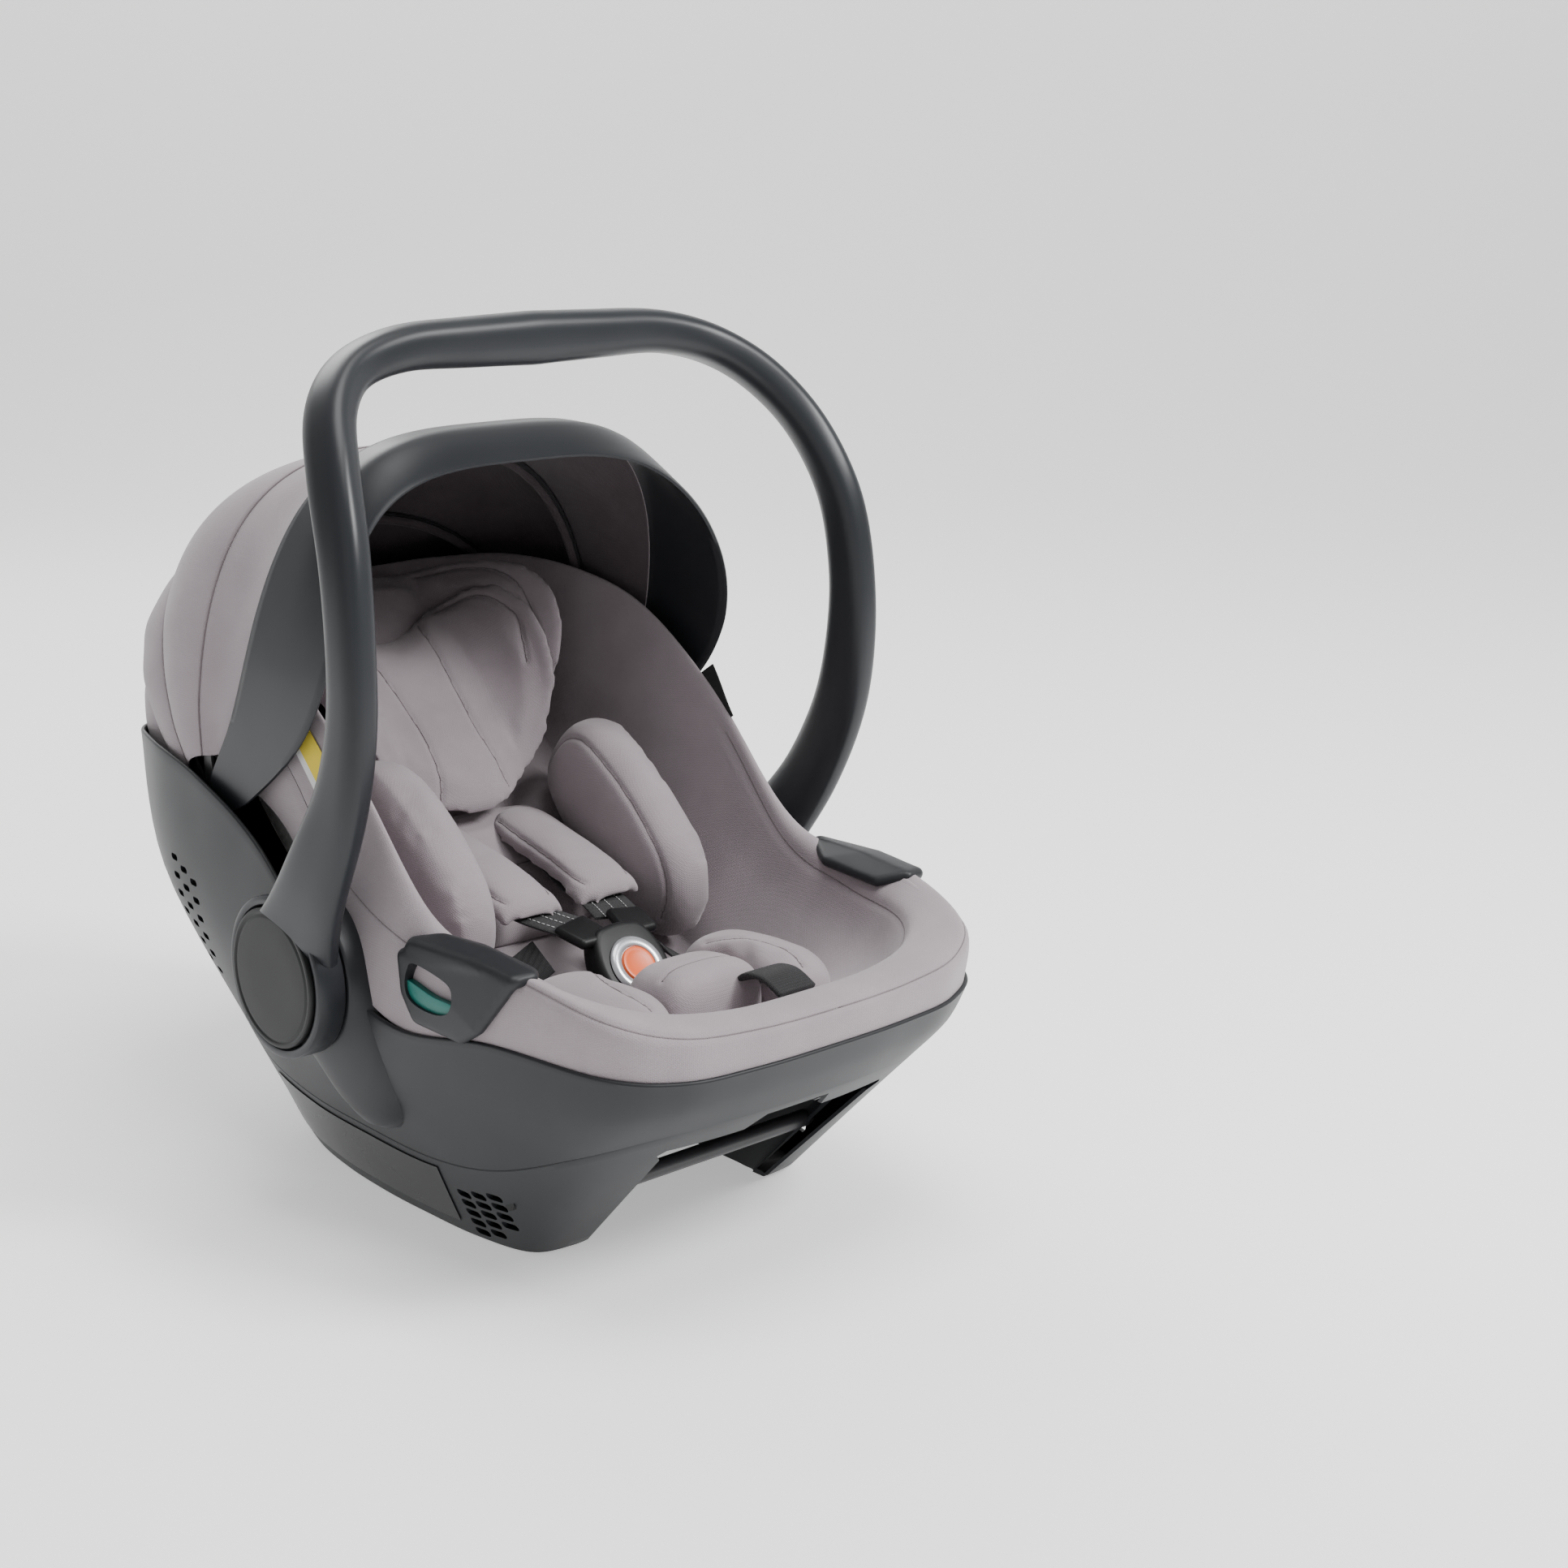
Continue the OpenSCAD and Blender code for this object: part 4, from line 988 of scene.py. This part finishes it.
def puff(made, pressure, limit):
    """Blows a cushion up a little as cloth, so that its faces bulge between its edges."""
    modify(made, "REMESH", mode="VOXEL", voxel_size=CLOTH_VOXEL * MM)
    apply_modifiers(made)
    before = np.array([v.co for v in made.data.vertices])
    cloth = modify(made, "CLOTH")
    settings = cloth.settings
    settings.quality = 6
    settings.mass = 0.2
    settings.tension_stiffness = 12
    settings.compression_stiffness = 12
    settings.shear_stiffness = 6
    settings.bending_stiffness = 0.4
    settings.use_pressure = True
    settings.uniform_pressure_force = pressure
    settings.effector_weights.gravity = 0
    cloth.point_cache.frame_end = CLOTH_FRAMES
    for frame_no in range(1, CLOTH_FRAMES + 1):
        bpy.context.scene.frame_set(frame_no)
    shape = made.evaluated_get(bpy.context.evaluated_depsgraph_get()).to_mesh()
    after = np.array([v.co for v in shape.vertices])
    made.modifiers.remove(cloth)
    bpy.context.scene.frame_set(1)
    move = after - before
    move -= move.mean(0)
    far = np.linalg.norm(move, axis=1)
    move *= np.minimum(1, limit * MM / np.maximum(far, 1e-9))[:, None]
    made.data.vertices.foreach_set("co", (before + move).ravel())
    made.data.update()
    modify(made, "SMOOTH", factor=0.5, iterations=5)
    apply_modifiers(made)
    subdivide(made)
    smooth(made)


def cushion(name, edge, mapping, thickness, body, node, seams, power=2.6, pressure=4.0, limit=5.0):
    made = pillow(name, edge, mapping, thickness, power)
    puff(made, pressure, limit)
    for i, route in enumerate(seams):
        stitched(made, [mapping(*p) for p in smooth_path(route, 60)], body, f"{name}_seam_{i}")
    place(made, body, "cover_fabric", node)


def profiled(profile):
    """A mapping onto a cupped surface: u runs across along a (width, height) profile, v up the backrest."""
    profile = np.array(profile, float)
    fine = smooth_path(np.hstack([profile, np.zeros((len(profile), 1))]), 80)[:, :2]
    run = np.concatenate([[0], np.cumsum(np.linalg.norm(np.diff(fine, axis=0), axis=1))])

    def mapping(u, v, h):
        s = abs(u)
        x, n = np.interp(s, run, fine[:, 0]), np.interp(s, run, fine[:, 1])
        if s > run[-1]:
            x, n = fine[-1] + unit(fine[-1] - fine[-2]) * (s - run[-1])
        ahead, behind = min(s + 2, run[-1]), max(min(s, run[-1]) - 2, 0)
        dx = np.interp(ahead, run, fine[:, 0]) - np.interp(behind, run, fine[:, 0])
        dn = np.interp(ahead, run, fine[:, 1]) - np.interp(behind, run, fine[:, 1])
        if s < 2:
            dn *= s / 2
        length = math.hypot(dx, dn)
        x, n = x - dn / length * h, n + dx / length * h
        return on_back(math.copysign(x, u) if s > 0.01 else 0.0, v, n)
    return mapping


def both(half):
    """A closed outline from its right half, given from the top middle to the bottom middle."""
    return list(half) + [(-u, v) for u, v in half[::-1] if u > 0]


def other_side(route):
    return [(-u, v, h) for u, v, h in route]


def headrest():
    cup = profiled([(0, 14), (44, 16), (70, 24), (90, 50), (98, 84), (100, 124)])
    edge = both([(0, 326), (40, 325), (84, 314), (122, 291), (156, 258), (177, 222), (172, 186), (140, 160),
                 (80, 150), (0, 150)])
    rib = [(74, 306, 15), (116, 288, 15), (148, 258, 15), (160, 226, 15), (152, 192, 14), (128, 170, 14)]
    cushion("headrest_cushion", edge, cup, 17, "headrest", "headrest_pad",
            [rib, other_side(rib)], limit=3.0)
    cup = profiled([(0, 32), (38, 33), (60, 40), (78, 60), (86, 86), (88, 108)])
    edge = both([(0, 246), (24, 252), (56, 264), (92, 262), (122, 240), (135, 200), (126, 164), (96, 130),
                 (56, 102), (26, 84), (0, 78)])
    fold = [(32, 254, 14), (30, 220, 16), (26, 180, 16), (24, 140, 16), (28, 108, 15), (34, 92, 10)]
    rim = [(56, 258, 14), (92, 254, 14), (114, 234, 14), (123, 205, 14), (110, 172, 14)]
    cushion("head_cushion", edge, cup, 16, "headrest", "head_insert",
            [fold, other_side(fold), rim, other_side(rim)], pressure=2.5, limit=3.0)


def side_bolsters():
    edge = [(112, 20), (121, 44), (118, 72), (98, 92), (60, 101), (18, 102), (-22, 96), (-48, 78), (-58, 52),
            (-52, 26), (-20, 11), (30, 8), (80, 10)]
    inner = [(108, 22, 38), (114, 46, 40), (109, 70, 40), (92, 86, 40), (58, 93, 40), (18, 94, 40),
             (-18, 88, 40), (-42, 72, 40), (-50, 48, 38)]
    for name, side in SIDES.items():
        def mapping(v, n, h, side=side):
            return on_back(side * (112 - h), v, n)
        cushion(f"bolster_cushion_{name}", edge, mapping, 43, "root", f"bolster_{name}", [inner],
                power=3.8, limit=4.0)


def seat_cushions():
    edge = both([(0, 104), (36, 103), (66, 96), (76, 60), (76, 20), (70, -8), (40, -18), (0, -20)])
    line = [(-60, 44, 12), (0, 40, 13), (60, 44, 12)]
    cushion("insert_cushion", edge, lambda u, v, h: on_back(u, v, 1 + h), 14, "root", "newborn_insert",
            [line], power=3.4, limit=4.0)
    height = [(-214, 150), (-170, 145), (-140, 144), (-100, 146)]
    ys, zs = zip(*height)
    for name, side in SIDES.items():
        edge = [(38, -116), (56, -98), (86, -98), (102, -122), (106, -160), (100, -196), (80, -216),
                (56, -214), (42, -194), (46, -164), (44, -140)]
        if side < 0:
            edge = edge[::-1]

        def mapping(x, y, h, side=side):
            return np.array([side * x, y, np.interp(y, ys, zs) + h])
        line = [(48, -126, 33), (64, -150, 36), (70, -180, 35), (66, -206, 26)]
        cushion(f"leg_cushion_{name}", edge, mapping, 36, "root", f"leg_pad_{name}", [line], limit=4.0)
    edge = both([(0, -138), (26, -139), (41, -148), (43, -170), (38, -196), (0, -201)])
    cushion("crotch_cushion", edge, lambda x, y, h: np.array([x, y, 143 + h - (y + 160) * 0.1]), 42, "root",
            "crotch_pad", [[(-38, -176, 40), (0, -174, 42), (38, -176, 40)]], power=3.4, limit=4.0)


def shoulder_pads():
    for name, side in SIDES.items():
        def mapping(u, y, h, side=side):
            z = np.interp(y, *np.array([(-52, 187), (-40, 194), (0, 205), (40, 214), (80, 224)]).T)
            return np.array([side * (38 - (60 - y) * 0.03) + u, y, z + h - 0.010 * u * u])
        edge = [(25, 66), (26, 30), (27, -10), (28, -36), (24, -46), (0, -48), (-24, -46), (-28, -36),
                (-27, -10), (-26, 30), (-25, 66), (-14, 78), (14, 78)]
        line = [(21, 66, 12), (22, 20, 13), (22, -24, 13), (19, -38, 12)]
        cushion(f"shoulder_cushion_{name}", edge, mapping, 13, "root", f"shoulder_pad_{name}",
                [line, other_side(line)], power=3.8, pressure=3.0, limit=3.0)


# ---- Harness ----

def stitches(name, route, offset):
    """Short white stitches beside the middle of a strap."""
    route = smooth_path(route, 120)
    run = np.concatenate([[0], np.cumsum(np.linalg.norm(np.diff(route, axis=0), axis=1))])
    spacing = 4.0
    marks = []
    for s in np.arange(3, run[-1] - 4, spacing):
        a, b = (np.array([np.interp(d, run, route[:, k]) for k in range(3)]) for d in (s, s + spacing * 0.6))
        marks.append(tube("stitch", [a + offset, b + offset], 0.3, THREAD, sides=6))
    made = join(name, marks)
    smooth(made)
    place(made, "root", "webbing")


def webbing():
    black = MATERIALS["webbing"]
    for name, side in SIDES.items():
        lower = [(30, -36, 190), (26, -52, 188), (20, -70, 186)]
        route = mirrored([(36, 46, 211), (35, 20, 205), (33, -10, 194)] + lower, side)
        made = ribbon(f"shoulder_web_{name}", route, 36, 1.8, black)
        place(made, "root", "webbing", f"shoulder_strap_{name}")
        lap = mirrored([(88, -44, 141), (72, -52, 148), (56, -60, 160), (44, -66, 170)], side)
        made = ribbon(f"lap_web_{name}", lap, 35, 1.8, black, across=(0, 1, 0.2))
        place(made, "root", "webbing", f"lap_strap_{name}")
        lower = mirrored(lower, side)
        for k, shift in enumerate((-11, 0, 11)):
            stitches(f"web_stitches_{name}_{k}", lower + [shift, 0, 0], np.array([0, 0, 1.3]))
    made = ribbon("crotch_web", [(0, -97, 128), (0, -93, 137), (0, -90, 147)], 37, 2, black)
    place(made, "root", "webbing", "crotch_strap")
    made = ribbon("adjuster_web", [(31, -190, 166), (31, -200, 178), (31, -218, 181), (31, -236, 174)],
                  33, 4, black)
    subdivide(made)
    place(made, "root", "webbing", "adjuster_strap")


BUCKLE = np.array([0.0, -104.0, 164.0])
BUCKLE_TILT = math.radians(50)
BUTTON_CENTRE = (0, -4)                           # in the buckle's plane


def at_buckle(x, y, z):
    c, s = math.cos(BUCKLE_TILT), math.sin(BUCKLE_TILT)
    return BUCKLE + [x, y * c - z * s, y * s + z * c]


def slab(name, edge, z0, z1, round_mm, material):
    """A plate with rounded edges over an outline in the buckle's plane."""
    loop = round_loop(edge, 96)
    middle = loop.mean(0)
    size = np.abs(loop - middle).max()
    rings = []
    for q in np.linspace(-math.pi / 2, math.pi / 2, 12):
        s = 1 - (1 - math.cos(q)) * round_mm / size
        z = (z0 + round_mm if q < 0 else z1 - round_mm) + round_mm * math.sin(q)
        rings.append([at_buckle(*(middle + (p - middle) * s), z) for p in loop])
    for s in (0.7, 0.4, 0.05):
        rings.append([at_buckle(*(middle + (p - middle) * s * (1 - round_mm / size)), z1) for p in loop])
    made = new_object(name, *surface(rings), material)
    smooth(made, 60)
    return made


def turned(name, profile, material, centre):
    """A solid turned about the buckle's normal. profile holds (radius, height) pairs."""
    rings = [[at_buckle(centre[0] + r * math.cos(q), centre[1] + r * math.sin(q), z)
              for q in turns(72)] for r, z in profile]
    made = new_object(name, *surface(rings), material)
    smooth(made, 40)
    return made


def buckle():
    case = [(27, 12), (29, -6), (24, -24), (10, -30), (-10, -30), (-24, -24), (-29, -6), (-27, 12), (-20, 26),
            (-8, 30), (8, 30), (20, 26)]
    body = slab("buckle_case", case, -12, 8, 5, MATERIALS["black_plastic"])
    place(body, "root", "black_plastic", "buckle_body")
    bezel = [(13.6, 8.3), (21, 8.2), (21.4, 9.0), (20.4, 10.4), (18.4, 11.2), (15.2, 11.2), (13.9, 10.6),
             (13.5, 9.6)]
    ring = turned("bezel_ring", bezel, MATERIALS["bezel"], BUTTON_CENTRE)
    place(ring, "root", "bezel", "buckle_bezel")
    dome = [(2, 4), (13.0, 4), (13.0, 10.6), (12.4, 11.4), (10.8, 11.7), (9.6, 11.4), (6, 11.0), (0.5, 10.9)]
    knob = turned("button", dome, MATERIALS["button_orange"], BUTTON_CENTRE)
    place(knob, "buckle_button", "button_orange", "buckle_button")
    for name, side in SIDES.items():
        made = blob(f"tongue_plate_{name}", [((side * 8, -92, 182.5), 4), ((side * 34, -72, 187), 4),
                                             ((side * 13, -70, 189.5), 4), ((side * 30, -92, 182.5), 4)],
                    MATERIALS["black_plastic"])
        place(made, "root", "black_plastic", f"tongue_{name}")


def blob(name, balls, material, detail=3):
    """The convex hull of balls given as (centre, radius)."""
    work = bmesh.new()
    for centre, r in balls:
        place_at = Matrix.Translation(world([centre])[0])
        bmesh.ops.create_icosphere(work, subdivisions=detail, radius=r * MM, matrix=place_at)
    hull = bmesh.ops.convex_hull(work, input=work.verts)
    spare = [g for g in hull["geom_interior"] + hull["geom_unused"] if isinstance(g, bmesh.types.BMVert)]
    bmesh.ops.delete(work, geom=spare, context="VERTS")
    made = from_bmesh(name, work, [material])
    smooth(made, 50)
    return made


# ---- Belt guides, tag and labels ----

def fused(name, parts, voxel, rounds, material):
    """Merges overlapping solids into one and softens where they meet."""
    made = join(name, parts)
    modify(made, "REMESH", mode="VOXEL", voxel_size=voxel * MM)
    modify(made, "SMOOTH", factor=0.5, iterations=rounds)
    apply_modifiers(made)
    made.data.materials.clear()
    made.data.materials.append(material)
    smooth(made)
    return made


def belt_guides():
    for name, side in SIDES.items():
        def ball(x, y, z, r):
            return ((side * x, y, z), r)
        grey = MATERIALS["shell_plastic"]
        bar = [blob("plate", [ball(181, -98, 209, 5.4), ball(181, -101, 186, 5.4), ball(181, -112, 172, 5.4),
                              ball(181, -158, 172, 5.4), ball(181, -174, 182, 5.2), ball(178, -190, 202, 5.0),
                              ball(176, -203, 218, 4.6)], grey, 2),
               blob("roof", [ball(178, -106, 217, 6.5), ball(177, -164, 219, 6.5), ball(181, -100, 206, 5.2),
                             ball(175, -204, 218, 4.6), ball(166, -118, 221, 5), ball(164, -160, 222, 5),
                             ball(163, -206, 219, 4)], grey, 2),
               blob("lip", [ball(166, -118, 221, 5), ball(164, -160, 222, 5), ball(163, -206, 219, 4),
                            ball(151, -140, 217, 4), ball(150, -190, 214, 4)], grey, 2)]
        made = fused(f"guide_{name}", bar, 1.3, 14, grey)
        slot = [(-104, 192), (-107, 203), (-114, 208.5), (-146, 204), (-153, 196), (-150, 186), (-138, 181),
                (-120, 180.5), (-108, 184)]
        cut(made, bar_along_x("slot", round_loop(slot, 64), side, (150, 200), grey))
        smooth(made, 50)
        place(made, "root", "shell_plastic", f"belt_guide_{name}")
        green = [(-103, 190), (-104, 195), (-130, 191), (-155, 190), (-152, 182), (-138, 178), (-118, 178),
                 (-106, 183)]
        insert = bar_along_x(f"guide_glow_{name}", round_loop(green, 64), side, (179.5, 184),
                             MATERIALS["green_plastic"])
        bevel(insert, 0.6)
        smooth(insert, 40)
        place(insert, "root", "green_plastic", f"guide_insert_{name}")


def tag():
    tilt = math.radians(56)
    rows = []
    for a in np.linspace(-21, 21, 12):
        row = []
        for b in np.linspace(-11, 11, 6):
            bend = 0.6 * math.sin(a / 9)
            row.append([162 + bend, -10 + a * math.cos(tilt) - b * math.sin(tilt),
                        312 + a * math.sin(tilt) + b * math.cos(tilt)])
        rows.append(row)
    made = new_object("fabric_tag", *sheet_surface(rows), MATERIALS["tag"])
    thicken(made, 1.0, 0)
    smooth(made, 40)
    place(made, "root", "tag", "side_tag")


def rim_label():
    """A blank two-colour label sewn into the seam of the left rim."""
    stack = np.array([TUCK, EDGE, CREST, BOWL, SEAT])
    points = range(169, 178)                       # of each outline, on the left behind the hub
    for name, low, high, material in (("a", 0.335, 0.40, YELLOW), ("b", 0.315, 0.335, WHITE)):
        rows = []
        for t in np.linspace(low, high, 8):
            ring = inset(path_at(stack, t), -0.7)
            rows.append([ring[i] + [0, 0, 0.4] for i in points])
        made = new_object(f"rim_label_{name}", *sheet_surface(rows), material)
        thicken(made, 0.5, 1.0)
        smooth(made, 40)
        place(made, "root", "cover_fabric")


# ---- Carried-over CAD nodes ----

def carry_over():
    slots = {part["node"]: part["material_slot"] for part in frame["record"]["subparts"]}
    for name, node in frame["nodes"].items():
        material = MATERIALS[slots[name]]
        if not node.data.materials:
            node.data.materials.append(material)
        for held in node.material_slots:
            held.material = material


def build():
    camera()
    stage()
    carry_over()
    outer_shell()
    base_skirt()
    hub_bosses()
    handle()
    canopy_band()
    canopy_panels()
    canopy_sleeves()
    seat_cover()
    headrest()
    side_bolsters()
    seat_cushions()
    shoulder_pads()
    webbing()
    buckle()
    belt_guides()
    tag()
    rim_label()


build()
